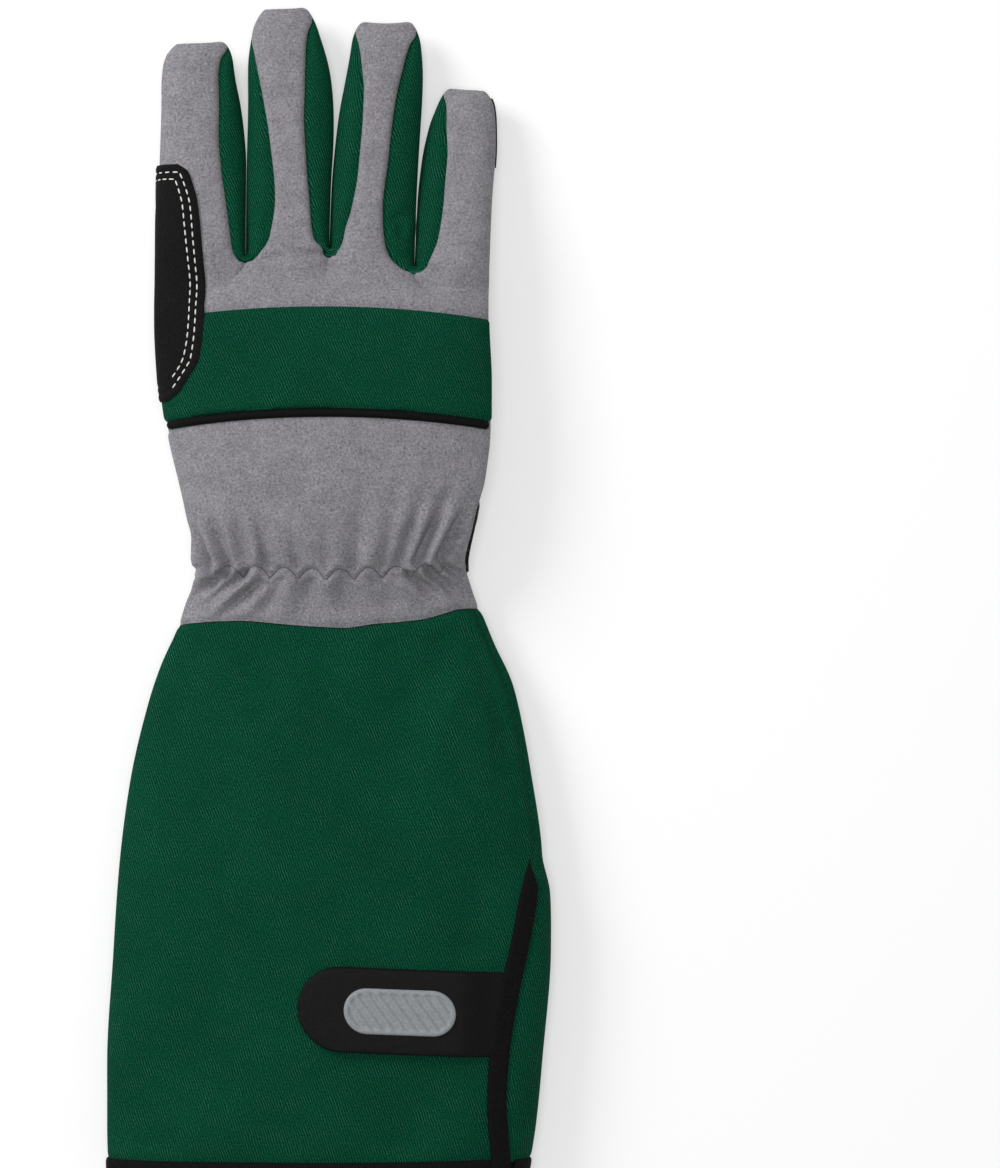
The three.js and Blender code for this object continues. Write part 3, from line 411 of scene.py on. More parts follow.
# How finely the surfaces are divided, and how tables are rounded off
EASE_STEPS = (-0.045, -0.03, -0.015, 0, 0.015, 0.03, 0.045)
FINGER_COLUMNS = 32
FINGER_ROWS = 84
SPACING = 1.15
CUFF_SPACING = 1.5


def smooth(low, high, value):
    share = np.clip((value - low) / (high - low), 0, 1)
    return share * share * (3 - 2 * share)


def blend(start, end, share):
    return start + (end - start) * share


def hump(distance, width):
    """1 at no distance, falling off over the given width."""
    return np.exp(-((distance / width) ** 2))


def stacked(parts):
    """Separate coordinates as one array of points."""
    return np.stack(np.broadcast_arrays(*parts), -1)


def walked(points, axis=0):
    """Length walked from the first point along a line, or along each line of a grid."""
    first = np.take(points, [0], axis)
    return np.linalg.norm(np.diff(points, axis=axis, prepend=first), axis=-1).cumsum(axis)


def slow_ends(count, share):
    """Steps from 0 to 1, the more drawn to both ends the greater the share."""
    steps = np.linspace(0, 1, count)
    return blend(steps, smooth(0, 1, steps), share)


def cosine_steps(count):
    """Steps from -1 to 1 that lie closer together at both ends."""
    return -np.cos(np.pi * np.linspace(0, 1, count))


def sample(rows, key, at):
    """Smooth value of one column of a table, without overshoot between its rows."""
    places, values = rows["at"], rows[key]
    slopes = np.diff(values) / np.diff(places)
    before, after = slopes[:-1], slopes[1:]
    same_way = before * after > 0
    mean = 2 * before * after / np.where(same_way, before + after, 1)
    tangents = np.concatenate([slopes[:1], np.where(same_way, mean, 0), slopes[-1:]])
    at = np.clip(at, places[0], places[-1])
    low = np.clip(np.searchsorted(places, at, side="right") - 1, 0, len(places) - 2)
    span = places[low + 1] - places[low]
    s = (at - places[low]) / span
    rest = 1 - s
    return (
        values[low] * (1 + 2 * s) * rest * rest
        + values[low + 1] * (3 - 2 * s) * s * s
        + span * s * rest * (tangents[low] * rest - tangents[low + 1] * s)
    )


def eased(rows, key, at):
    """A sample averaged over a short stretch, so that no corner of the table shows."""
    return sum(sample(rows, key, at + step) for step in EASE_STEPS) / len(EASE_STEPS)


def photo_point(x, y):
    """A pixel of the photo as a place on the glove's plan."""
    return (x - PHOTO_SEAM_X) * PHOTO_SCALE, (PHOTO_SEAM_Y - y) * PHOTO_SCALE


# Shape of the hand
def dome(share):
    across = np.abs(np.clip(2 * share - 1, -1, 1))
    return (1 - across**DOME_POWER) ** (1 / DOME_POWER)


def tray(share):
    across = np.abs(np.clip(2 * share - 1, -1, 1))
    corner = np.clip((across - (1 - CORNER_SHARE)) / CORNER_SHARE, 0, 1)
    return np.sqrt(1 - corner * corner)


def section_height(section, share, is_back):
    edge = blend(section["left_edge"], section["right_edge"], share)
    if is_back:
        return edge + (section["top"] - edge) * dome(share)
    return edge - (edge - section["floor"]) * tray(share)


def hand_section(v):
    floor = PALM_RISE * sample(HAND, "floor", v)
    thick = HAND_THICKNESS * sample(HAND, "thick", v)
    return dict(
        left=-HAND_WIDTH * sample(HAND, "left", v),
        right=HAND_WIDTH * sample(HAND, "right", v),
        floor=floor,
        top=floor + thick,
        left_edge=floor + thick * sample(HAND, "thumb_edge", v),
        right_edge=floor + thick * EDGE_SHARE,
    )


def seam_y(x):
    return HAND_WIDTH * sample(SEAM, "rise", x / HAND_WIDTH)


def hand_y(x, v):
    """The wrist seam's wave fades out up the hand."""
    return HAND_LENGTH * v + seam_y(x) * (1 - smooth(0, WAVE_END, v))


def hand_point(share, v, is_back):
    section = hand_section(v)
    x = blend(section["left"], section["right"], share)
    return x, hand_y(x, v), section_height(section, share, is_back)


def tip_round(t):
    """Falls from 1 where the tip starts to round off to 0 at its end, as a quarter of an ellipse."""
    past = np.clip((t - TIP_START) / (1 - TIP_START), 0, 1)
    return np.sqrt(1 - past * past)


def finger_width(finger, t):
    """Half of a finger's width as a share of half its root, with its tip's corners rounded."""
    past = np.clip((t - CORNER_START) / (1 - CORNER_START), 0, 1)
    return eased(finger["outline"], "width", t) - CORNER * (1 - np.sqrt(1 - past * past))


def finger_web(t):
    """Pulls the seams round the crotch on a quarter of an ellipse."""
    past = 1 - np.clip(t / WEB_LENGTH, 0, 1)
    return 1 - np.sqrt(1 - past * past)


def strip_side(finger, side, t, half):
    """How far a side's seam lies from the middle, and its height share, which is 0 past the strip."""
    reach = half * finger_width(finger, t)
    strip = finger[side]
    if strip is None:
        return reach, reach * 0
    end = strip["at"][-1]
    share = np.minimum(sample(strip, "seam", t), finger_width(finger, t))
    share = blend(share, finger_width(finger, end), smooth(end - STRIP_MERGE, end, t))
    seam = half * blend(share, 1, finger_web(t))
    height = sample(STRIP, "height", t / end)
    return np.where(t >= end, reach, np.minimum(seam, reach)), np.where(t >= end, 0, height)


def finger_shape(finger, t):
    hand = hand_section(1)
    start = blend(hand["left"], hand["right"], finger["start"])
    end = blend(hand["left"], hand["right"], finger["end"])
    half = (end - start) / 2 - STRIP_GAP * smooth(0, BULGE_END, t)
    floor = blend(hand["floor"], THUMB_FLOOR, smooth(0, TIP_DOWN, t))
    shape = dict(
        middle=(start + end) / 2 + HAND_WIDTH * eased(finger["outline"], "shift", t),
        reach=half * finger_width(finger, t),
        half_height=FINGER_HEIGHT / 2 * sample(FINGER, "height", t) * tip_round(t),
        centre=floor + FINGER_HEIGHT / 2,
    )
    for side in ("left", "right"):
        shape[f"{side}_seam"], shape[f"{side}_height"] = strip_side(finger, side, t, half)
    return shape


def finger_base(finger, share):
    return HAND_LENGTH * (1 - blend(finger["start_drop"], finger["end_drop"], share))


def finger_y(finger, share, t):
    return blend(finger_base(finger, share), finger_base(finger, 0.5) + finger["length"], t)


def finger_point(finger, across, t, side):
    """A point on the back (side 1) or the front (side -1) of a finger; across runs from -1 to 1."""
    shape = finger_shape(finger, t)
    share = (across + 1) / 2
    x = blend(shape["middle"] - shape["left_seam"], shape["middle"] + shape["right_seam"], share)
    edge = np.where(across < 0, shape["left_height"], shape["right_height"])
    height = edge + (1 - edge) * np.sqrt(np.clip(1 - across * across, 0, 1))
    return x, finger_y(finger, share, t), shape["centre"] + side * shape["half_height"] * height


def column_share(column):
    """Share across the hand of a column that counts fingers."""
    return (1 - np.cos(np.pi * column / len(FINGERS))) / 2


def column_point(column, v, is_back):
    """A point on the hand whose columns run on into the fingers."""
    x, y, z = hand_point(column_share(column), v, is_back)
    number = np.clip(np.floor(column), 0, len(FINGERS) - 1).astype(int)
    across = -np.cos(np.pi * (column - number))
    root = np.zeros((3, *np.shape(column)))
    for order, finger in enumerate(FINGERS):
        found = finger_point(finger, across, np.zeros(np.shape(column)), 1 if is_back else -1)
        root = np.where(number == order, np.array(found), root)
    to_root = smooth(ROOT_BLEND, 1, v)
    root_y = y + (root[1] - HAND_LENGTH) * v
    return blend(x, root[0], to_root), blend(y, root_y, to_root), blend(z, root[2], to_root)


def wrist_point(even, v):
    share = even - WRIST_CLUSTER * np.sin(2 * np.pi * even)
    x, y, z = hand_point(share, v - line_bow(v) * (2 * share - 1) ** 2, True)
    depth = FLUTE_DEPTH * sample(FLUTE_FADE, "share", v) * np.minimum(1, dome(share) ** 3)
    return x, y, z + depth * np.cos(2 * np.pi * even * FLUTES)


def line_bow(v):
    """How far a line across the back drops at the sides."""
    return LINE_BOW * smooth(BOW_FADE, PIPING_BOTTOM, v) * (1 - smooth(BAND_TOP, 1, v))


# Shape of the cuff
def cuff_section(w):
    top = CUFF_THICKNESS * sample(CUFF, "thick", w)
    return dict(
        left=-CUFF_WIDTH * sample(CUFF, "left", w),
        right=CUFF_WIDTH * sample(CUFF, "right", w),
        floor=0,
        top=top,
        left_edge=top * EDGE_SHARE,
        right_edge=top * EDGE_SHARE,
    )


def cuff_point(share, w, is_back):
    section = cuff_section(w)
    x = blend(section["left"], section["right"], share)
    return x, blend(seam_y(x), -CUFF_LENGTH, w), section_height(section, share, is_back)


def dome_angle(share):
    return np.arccos(np.clip(2 * share - 1, 0, 1) ** (DOME_POWER / 2))


def dome_share(angle):
    return (1 + np.cos(angle) ** (2 / DOME_POWER)) / 2


def slit_edge(w):
    return np.where(w <= SLIT_TOP, SIDE_SEAM, eased(SLIT, "edge", w))


ARC_STEPS = 60
FLAP_START = 0.43
LIFT_ROW = 0.5
LIFT_FADE = 16
FLAP_LIFT = TWILL_WALL + 2 * GAP


def binding_end(w):
    """Share at which the slit's binding ends, its own width away from the slit's edge."""
    ends = []
    for row in np.ravel(w):
        angles = dome_angle(slit_edge(row)) * (1 - np.arange(ARC_STEPS + 1) / ARC_STEPS)
        x, _, z = cuff_point(dome_share(angles), row, True)
        run = walked(stacked((x, z)))
        goal = min(BINDING_WIDTH * float(smooth(FLAP_START, LIFT_ROW, row)), run[-1] / 2)
        ends.append(float(dome_share(np.interp(goal, run, angles))))
    return np.array(ends).reshape(np.shape(w))


def flap_lift(w):
    return FLAP_LIFT * smooth(FLAP_START, LIFT_ROW, w)


def thumb_point(across, at, side):
    left = HAND_WIDTH * sample(THUMB, "left", at)
    right = HAND_WIDTH * sample(THUMB, "right", at)
    half = THUMB_THICKNESS * sample(THUMB, "thick", at) / 2
    height = (1 - np.abs(across) ** THUMB_POWER) ** (1 / THUMB_POWER)
    z = THUMB_FLOOR * sample(THUMB, "low", at) + half + side * half * height
    return blend(left, right, (across + 1) / 2), HAND_LENGTH * at, z


# Meshes
def place_of_seam():
    """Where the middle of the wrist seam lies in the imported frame, worked out from its solids."""
    tip = max(float(finger_y(finger, 0.5, 1)) for finger in FINGERS)
    side = -CUFF_WIDTH * max(CUFF["left"])
    return np.array([
        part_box("cuff_back")[0].x / MM - side,
        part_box("hand_back")[1].y / MM - tip,
        0,
    ])


SEAM_PLACE = place_of_seam()


def linked(name, data):
    """A new object in the scene."""
    obj = bpy.data.objects.new(name, data)
    bpy.context.scene.collection.objects.link(obj)
    return obj


def new_object(name, points, faces, cloth, material, sharp=60):
    """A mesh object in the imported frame. cloth holds each corner's place on the flat cloth."""
    name = f"{name}_detail"
    mesh = bpy.data.meshes.new(name)
    mesh.from_pydata(((points + SEAM_PLACE) * MM).tolist(), [], faces)
    if cloth is not None:
        layer = mesh.uv_layers.new(name="cloth")
        layer.uv.foreach_set("vector", (np.asarray(cloth) * MM).astype(np.float32).ravel())
    mesh.polygons.foreach_set("use_smooth", np.ones(len(mesh.polygons), bool))
    mesh.set_sharp_from_angle(angle=math.radians(sharp))
    mesh.materials.append(material)
    return linked(name, mesh)


def unit(vectors):
    return vectors / np.maximum(np.linalg.norm(vectors, axis=-1, keepdims=True), TINY)


def face_normals(points, faces):
    """Normal at each point, summed over the faces round it."""
    normals = np.zeros_like(points)
    faces = np.asarray(faces)
    across = points[faces[:, 2]] - points[faces[:, 0]]
    along = points[faces[:, -1]] - points[faces[:, 1]]
    for corner in range(faces.shape[1]):
        np.add.at(normals, faces[:, corner], np.cross(across, along))
    return unit(normals)


def rim_edges(faces):
    """Edges that only one face has, in that face's direction."""
    faces = np.asarray(faces)
    edges = np.concatenate([
        np.stack([faces[:, k], faces[:, (k + 1) % faces.shape[1]]], -1)
        for k in range(faces.shape[1])
    ])
    edges = edges[edges[:, 0] != edges[:, 1]]
    size = faces.max() + 1
    return edges[~np.isin(edges[:, 0] * size + edges[:, 1], edges[:, 1] * size + edges[:, 0])]


def nearest_distance(points, targets):
    tree = KDTree(len(targets))
    for order, target in enumerate(targets):
        tree.insert(target, order)
    tree.balance()
    return np.array([tree.find(point)[2] for point in points])


# Folds: how much they widen, where along them they rise and fade, and the banks beside them
FOLD_DEPTH = 1.5
FOLD_WIDENS = 0.6
FOLD_RISES = (-0.12, 0.1)
FOLD_FADES = (0.3, 1.05)
BANK_AWAY = 2.1
BANK_SHARE = 0.4


def fold_relief(points, rows, deeper=1.0):
    """Height that a table of folds adds at each point of the plan."""
    height = np.zeros(len(points))
    for x0, y0, x1, y1, width, depth in zip(*rows.values()):
        start = np.array(photo_point(x0, y0))
        along = np.array(photo_point(x1, y1)) - start
        length = np.hypot(*along)
        offset = points[:, :2] - start
        t = offset @ along / length**2
        across = (offset[:, 0] * along[1] - offset[:, 1] * along[0]) / length
        spread = width * (1 + FOLD_WIDENS * np.clip(t, 0, 1))
        fade = smooth(*FOLD_RISES, t) * (1 - smooth(*FOLD_FADES, t))
        banks = hump(np.abs(across) - spread * BANK_AWAY, spread)
        height -= depth * fade * FOLD_DEPTH * deeper * (hump(across, spread) - BANK_SHARE * banks)
    return height


# Slow swells of each soft part: their height and size, and the seed of their draw
SWELLS = dict(
    back=(0.35, 34, 3), palm=(0.35, 36, 7), wrist=(0.5, 26, 5), thumb=(0.4, 26, 13),
    cuff=(0.6, 60, 17), tip=(0.1, 20, 19),
)
SWELL_WAVES = 7
SWELL_SIZES = (0.7, 1.6)

# How far from its seams a part's relief reaches its full height
CALM = dict(back=6, palm=6, wrist=4, strip=3, thumb=5, cuff=8)


def swell(points, part):
    """Slow uneven swells of a soft part, the sum of waves that run in drawn directions."""
    height, size, seed = SWELLS[part]
    draw = np.random.default_rng(seed)
    total = np.zeros(len(points))
    for _ in range(SWELL_WAVES):
        turn = draw.uniform(0, math.pi)
        step = 2 * math.pi / (size * draw.uniform(*SWELL_SIZES))
        phase = draw.uniform(0, 2 * math.pi)
        total += np.sin((points[:, 0] * math.cos(turn) + points[:, 1] * math.sin(turn)) * step + phase)
    return height * (total / SWELL_WAVES)


# Steps in a millimetre to which a skin's points are rounded before like ones are joined
WELD_STEPS = 100


class Skin:
    """Sheets that lie on one smooth surface and share their seams."""

    def __init__(self):
        self.points = []
        self.cloth = []
        self.quads = {}
        self.count = 0

    def grid(self, panel, points, turned=False):
        """Adds a grid of points to a panel. Rows run down, and turned flips the way it faces."""
        points = stacked(points).astype(float)
        rows, columns = points.shape[:2]
        across = walked(points, 1)
        across = across - across[:, columns // 2, None]
        down = walked(points[:, columns // 2])
        index = self.count + np.arange(rows * columns).reshape(rows, columns)
        corners = [index[:-1, :-1], index[:-1, 1:], index[1:, 1:], index[1:, :-1]]
        if turned:
            corners = corners[::-1]
        self.quads.setdefault(panel, []).append(np.stack(corners, -1).reshape(-1, 4))
        self.points.append(points.reshape(-1, 3))
        self.cloth.append(stacked((across, -down[:, None])).reshape(-1, 2))
        self.count += rows * columns

    def weld(self):
        """Joins the points that panels share and finds the normals, alike on both sides of a seam."""
        points = np.concatenate(self.points)
        keys = np.round(points * WELD_STEPS).astype(np.int64)
        _, first, joined = np.unique(keys, axis=0, return_index=True, return_inverse=True)
        self.joined = joined.ravel()
        self.places = points[first]
        self.cloth = np.concatenate(self.cloth)
        self.quads = {panel: np.concatenate(parts) for panel, parts in self.quads.items()}
        total = sum(face_normals(self.places, self.joined[quads]) for quads in self.quads.values())
        self.normals = unit(total)

    def sheet(
        self, panel, wall, material, relief, raised=0, depth=SEAM_DEPTH, reach=SEAM_REACH, flush=None
    ):
        """One panel as a closed sheet that dips at its seams, and its outer face as a surface."""
        corners = self.joined[self.quads[panel]]
        used, local = np.unique(corners, return_inverse=True)
        local = local.reshape(corners.shape)
        points, normals = self.places[used], self.normals[used]
        rim = rim_edges(local)
        pull = np.zeros_like(points)
        along = points[rim[:, 1]] - points[rim[:, 0]]
        for end in (0, 1):
            np.add.at(pull, rim[:, end], unit(np.cross(normals[rim[:, end]], along)))
        distance = nearest_distance(points, points[np.unique(rim)])
        fade = 1 if flush is None else smooth(FLUSH_FROM, FLUSH_TO, nearest_distance(points, flush))
        lift = raised - depth * fade * hump(distance, reach) + relief(points, distance)
        on_rim = (np.abs(pull).sum(1) > 0)[:, None]
        outer = points + normals * lift[:, None] + unit(pull) * EDGE_INSET * on_rim
        faces, cloth = whole_faces(local, self.quads[panel])
        obj = closed_sheet(panel, outer, normals, wall, faces, self.cloth[cloth], rim, material)
        return obj, Surface(outer, faces)


def whole_faces(corners, flat):
    """Faces without the corners that a weld has made double, and the flat place of each corner."""
    faces, cloth = [], []
    for face, places in zip(corners.tolist(), flat.tolist()):
        keep = [k for k in range(4) if face[k] != face[k - 1]]
        if len(keep) > 2:
            faces.append([face[k] for k in keep])
            cloth.append([places[k] for k in keep])
    return faces, [place for places in cloth for place in places]


def closed_sheet(name, outer, normals, wall, faces, cloth, rim, material):
    """A sheet with an inner face one wall below its outer face."""
    count = len(outer)
    inner = outer - normals * wall
    under = [[corner + count for corner in reversed(face)] for face in faces]
    edge = [[b, a, a + count, b + count] for a, b in rim.tolist()]
    ends = np.cumsum([len(face) for face in faces])
    backwards = [k for end, face in zip(ends, faces) for k in range(end - 1, end - 1 - len(face), -1)]
    place_of = np.zeros((count, 2))
    place_of[[corner for face in faces for corner in face]] = cloth
    edge_cloth = place_of[[corner % count for face in edge for corner in face]]
    whole = np.concatenate([cloth, cloth[backwards], edge_cloth])
    return new_object(name, np.concatenate([outer, inner]), faces + under + edge, whole, material)


RAY_START = 200


class Surface:
    """A surface on which other pieces are laid from above or below."""

    def __init__(self, points, faces):
        self.tree = BVHTree.FromPolygons(points.tolist(), faces)

    def place(self, plan, from_above):
        """Places straight under or over a plan. Beside the surface, the nearest place is taken."""
        way = -1 if from_above else 1
        places, normals = [], []
        for x, y in plan:
            start = Vector((x, y, -way * RAY_START))
            place, normal, _, _ = self.tree.ray_cast(start, Vector((0, 0, way)))
            if place is None:
                place, normal, _, _ = self.tree.find_nearest(Vector((x, y, places[-1][2] if places else 0)))
            places.append(place[:])
            normals.append(normal[:] if normal.z * way < 0 else (-normal)[:])
        return np.array(places), np.array(normals)

    def nearest(self, points):
        """The nearest places on the surface, with its normals."""
        found = [self.tree.find_nearest(Vector(point)) for point in points]
        return np.array([place[0][:] for place in found]), np.array([place[1][:] for place in found])


# Outlines, fillings and stitches
CURVE_STEPS = 12


def between(first, last, low, high, at):
    """The value at a place on the line from first, which stands at low, to last, at high."""
    return (high - at) / (high - low) * first + (at - low) / (high - low) * last


def closed_curve(corners, step):
    """A smooth closed curve through its corners, with centripetal spacing."""
    points = []
    count = len(corners)
    for k in range(count):
        p = [corners[(k + offset) % count] for offset in (-1, 0, 1, 2)]
        t = np.cumsum([0, *(np.linalg.norm(p[i + 1] - p[i]) ** 0.5 for i in range(3))])
        for at in np.linspace(t[1], t[2], CURVE_STEPS, endpoint=False):
            a = [between(p[i], p[i + 1], t[i], t[i + 1], at) for i in range(3)]
            b = [between(a[i], a[i + 1], t[i], t[i + 2], at) for i in range(2)]
            points.append(between(b[0], b[1], t[1], t[2], at))
    return even_line(np.array(points + points[:1]), step)[:-1]


def even_line(points, step):
    """The same line with points an even step apart."""
    run = walked(points)
    count = max(2, round(run[-1] / step))
    at = np.linspace(0, run[-1], count + 1)
    return np.stack([np.interp(at, run, column) for column in points.T], -1)


def line_distance(plan, outline):
    """Distance from each point to a closed outline."""
    start, end = outline, np.roll(outline, -1, axis=0)
    along = end - start
    size = np.maximum((along**2).sum(1), TINY)
    best = np.full(len(plan), np.inf)
    for a, way, square in zip(start, along, size):
        offset = plan - a
        t = np.clip(offset @ way / square, 0, 1)
        best = np.minimum(best, np.hypot(*(offset - t[:, None] * way).T))
    return best


def is_inside(plan, outline):
    """Which points lie inside a closed outline, counted by its crossings to their right."""
    inside = np.zeros(len(plan), bool)
    for (x0, y0), (x1, y1) in zip(outline, np.roll(outline, -1, axis=0)):
        if y0 == y1:
            continue
        crosses = (y0 > plan[:, 1]) != (y1 > plan[:, 1])
        inside ^= crosses & (plan[:, 0] < x0 + (plan[:, 1] - y0) * (x1 - x0) / (y1 - y0))
    return inside


INSET_SLACK = 0.05


def inset_line(outline, inset):
    """The outline moved inwards, without the points that come too near another stretch of it."""
    along = unit(np.roll(outline, -1, axis=0) - np.roll(outline, 1, axis=0))
    turn = np.stack([-along[:, 1], along[:, 0]], -1)
    area = np.cross(outline, np.roll(outline, -1, axis=0)).sum()
    moved = outline + turn * inset * np.sign(area)
    return moved[line_distance(moved, outline) > inset - INSET_SLACK]


# Rounded edge of a flat piece: its width, its wall at the very edge, and where its rings lie
EDGE_ROUND = 0.9
EDGE_WALL = 0.4
EDGE_RINGS = (0.3, 1)

# Filling, in shares of its spacing: height of a row and least distance from the rings, and the
# distance in millimetres below which two points count as one
ROW_HEIGHT = 0.87
RING_SPACING = 0.6
SAME_POINT = 1e-4


def filled(outline, spacing):
    """Points and triangles that fill an outline, with finer rings along its edge."""
    low, high = outline.min(0), outline.max(0)
    x, y = np.meshgrid(
        np.arange(low[0], high[0], spacing), np.arange(low[1], high[1], spacing * ROW_HEIGHT)
    )
    x = x + spacing / 2 * (np.arange(len(x)) % 2)[:, None]
    grid = np.stack([x.ravel(), y.ravel()], -1)
    grid = grid[is_inside(grid, outline)]
    grid = grid[line_distance(grid, outline) > EDGE_ROUND + spacing * RING_SPACING]
    rings = [inset_line(outline, EDGE_ROUND * share) for share in EDGE_RINGS]
    points = [Vector(point) for point in np.concatenate([outline, *rings, grid])]
    found = delaunay_2d_cdt(points, [], [list(range(len(outline)))], 1, SAME_POINT)
    triangles = [face for face in found[2] if len(face) == 3]
    return np.array([vertex[:] for vertex in found[0]]), np.array(triangles)


def plan_sheet(name, outline, surface, from_above, raised, wall, material, relief=None, spacing=1.3):
    """A piece cut to a plan outline and laid on a surface, with a rounded edge."""
    plan, faces = filled(outline, spacing)
    base, normals = surface.place(plan, from_above)
    way = face_normals(base, faces)
    if (way * normals).sum() < 0:
        faces = faces[:, ::-1]
        way = -way
    distance = line_distance(plan, outline)
    edge = np.sqrt(1 - (1 - np.clip(distance / EDGE_ROUND, 0, 1)) ** 2)
    height = wall * blend(EDGE_WALL, 1, edge)
    if relief is not None:
        height = height + relief(plan, distance)
    lift = raised(plan) if callable(raised) else np.full(len(plan), float(raised))
    top = base + way * (lift + height)[:, None]
    rim = rim_edges(faces)
    cloth = plan[faces.ravel()]
    return closed_sheet(name, top, way, height[:, None], faces.tolist(), cloth, rim, material)


def ribbon(name, left, right, normals, wall, material, sides=24, power=4):
    """A flat band with rounded edges between two lines, closed at both ends."""
    angles = 2 * np.pi * np.arange(sides) / sides
    waves = (np.cos(angles), np.sin(angles))
    across, high = (np.sign(wave) * np.abs(wave) ** (2 / power) for wave in waves)
    middle, half = (left + right) / 2, (right - left) / 2
    points = (
        middle[:, None] + half[:, None] * across[:, None]
        + normals[:, None] * high[:, None] * np.asarray(wall).reshape(-1, 1, 1) / 2
    )
    rows = len(left)
    index = np.arange(rows * sides).reshape(rows, sides)
    after = np.roll(index, -1, axis=1)
    faces = np.stack([index[:-1], after[:-1], after[1:], index[1:]], -1).reshape(-1, 4).tolist()
    faces += [index[0, ::-1].tolist(), index[-1].tolist()]
    round_it = np.arange(sides) / sides * 2 * np.linalg.norm(half, axis=1)[:, None]
    cloth = stacked((round_it, walked(middle)[:, None])).reshape(-1, 2)
    corners = [corner for face in faces for corner in face]
    obj = new_object(name, points.reshape(-1, 3), faces, cloth[corners], material, sharp=45)
    return outward(obj)


def outward(obj):
    """Turns a closed mesh's faces so that they point out."""
    shape = bmesh.new()
    shape.from_mesh(obj.data)
    bmesh.ops.recalc_face_normals(shape, faces=shape.faces)
    shape.to_mesh(obj.data)
    shape.free()
    return obj


STITCH_SIDES = 6
STITCH_DIP = 0.5
STITCH_PROFILE = ((-1, 0.05), (-0.8, 0.7), (-0.35, 1), (0.35, 1), (0.8, 0.7), (1, 0.05))


def stitch_places(points, normals, pitch):
    """Middle, direction and normal of each stitch along a line."""
    line = even_line(np.concatenate([points, normals], 1), pitch)
    middle = (line[1:, :3] + line[:-1, :3]) / 2
    return middle, unit(line[1:, :3] - line[:-1, :3]), unit(line[1:, 3:] + line[:-1, 3:])


def stitches(name, lines, material, length=STITCH_LENGTH, pitch=STITCH_PITCH, radius=STITCH_RADIUS):
    """Rows of short threads, joined in one mesh."""
    found = [stitch_places(points, normals, pitch) for points, normals in lines if len(points) > 2]
    middle, along, normal = (np.concatenate(part) for part in zip(*found))
    side = np.cross(along, normal)
    angles = 2 * np.pi * np.arange(STITCH_SIDES) / STITCH_SIDES
    rings = []
    for share, size in STITCH_PROFILE:
        sink = radius * STITCH_DIP * share * share
        centre = middle + along * share * length / 2 - normal * sink
        ring = (
            centre[:, None]
            + side[:, None] * (np.cos(angles) * size * radius)[:, None]
            + normal[:, None] * (np.sin(angles) * size * radius)[:, None]
        )
        rings.append(ring)
    points = np.stack(rings, 1)
    count, rows, sides = points.shape[:3]
    index = np.arange(count * rows * sides).reshape(count, rows, sides)
    after = np.roll(index, -1, axis=2)
    quads = np.stack([index[:, :-1], index[:, 1:], after[:, 1:], after[:, :-1]], -1).reshape(-1, 4)
    caps = [*index[:, 0].tolist(), *index[:, -1, ::-1].tolist()]
    return new_object(name, points.reshape(-1, 3), quads.tolist() + caps, None, material, sharp=80)


# Materials
def srgb(red, green, blue):
    """A colour read from the photo, as the renderer counts it."""
    values = np.array([red, green, blue]) / 255
    linear = np.where(values <= 0.04045, values / 12.92, ((values + 0.055) / 1.055) ** 2.4)
    return (*linear.tolist(), 1)


class Finish:
    """Short way to build the nodes of one material."""

    def __init__(self, name, roughness, sheen=0.0, specular=0.15):
        self.material = bpy.data.materials.new(name)
        self.material.use_nodes = True
        self.tree = self.material.node_tree
        self.shader = self.tree.nodes["Principled BSDF"]
        self.shader.inputs["Roughness"].default_value = roughness
        self.shader.inputs["Sheen Weight"].default_value = sheen
        self.shader.inputs["Specular IOR Level"].default_value = specular

    def add(self, kind, inputs, **settings):
        node = self.tree.nodes.new(kind)
        for key, value in settings.items():
            setattr(node, key, value)
        for key, value in inputs.items():
            if isinstance(value, bpy.types.NodeSocket):
                self.tree.links.new(value, node.inputs[key])
            else:
                node.inputs[key].default_value = value
        return node

    def where(self):
        return self.add("ShaderNodeTexCoord", {}).outputs["Object"]

    def cloth(self):
        return self.add("ShaderNodeUVMap", {}, uv_map="cloth").outputs["UV"]

    def noise(self, place, scale, detail=2.0, roughness=0.5):
        inputs = {"Vector": place, "Scale": scale, "Detail": detail, "Roughness": roughness}
        return self.add("ShaderNodeTexNoise", inputs).outputs["Fac"]

    def math(self, operation, first, second):
        return self.add("ShaderNodeMath", {0: first, 1: second}, operation=operation).outputs[0]

    def ramp(self, factor, *stops):
        node = self.add("ShaderNodeValToRGB", {"Fac": factor})
        elements = node.color_ramp.elements
        while len(elements) < len(stops):
            elements.new(0.5)
        for element, (place, colour) in zip(elements, stops):
            element.position = place
            element.color = colour
        return node.outputs["Color"]

    def multiply(self, first, second, factor=1.0):
        inputs = {"Fac": factor, "Color1": first, "Color2": second}
        return self.add("ShaderNodeMixRGB", inputs, blend_type="MULTIPLY").outputs["Color"]

    def finish(self, colour, height, depth, roughness=None):
        self.tree.links.new(colour, self.shader.inputs["Base Color"])
        bump = self.add("ShaderNodeBump", {"Height": height, "Distance": depth, "Strength": 1.0})
        self.tree.links.new(bump.outputs["Normal"], self.shader.inputs["Normal"])
        if roughness is not None:
            self.tree.links.new(roughness, self.shader.inputs["Roughness"])
        return self.material


def grey(level):
    """A plain grey that darkens what it is multiplied with."""
    return (level, level, level, 1)


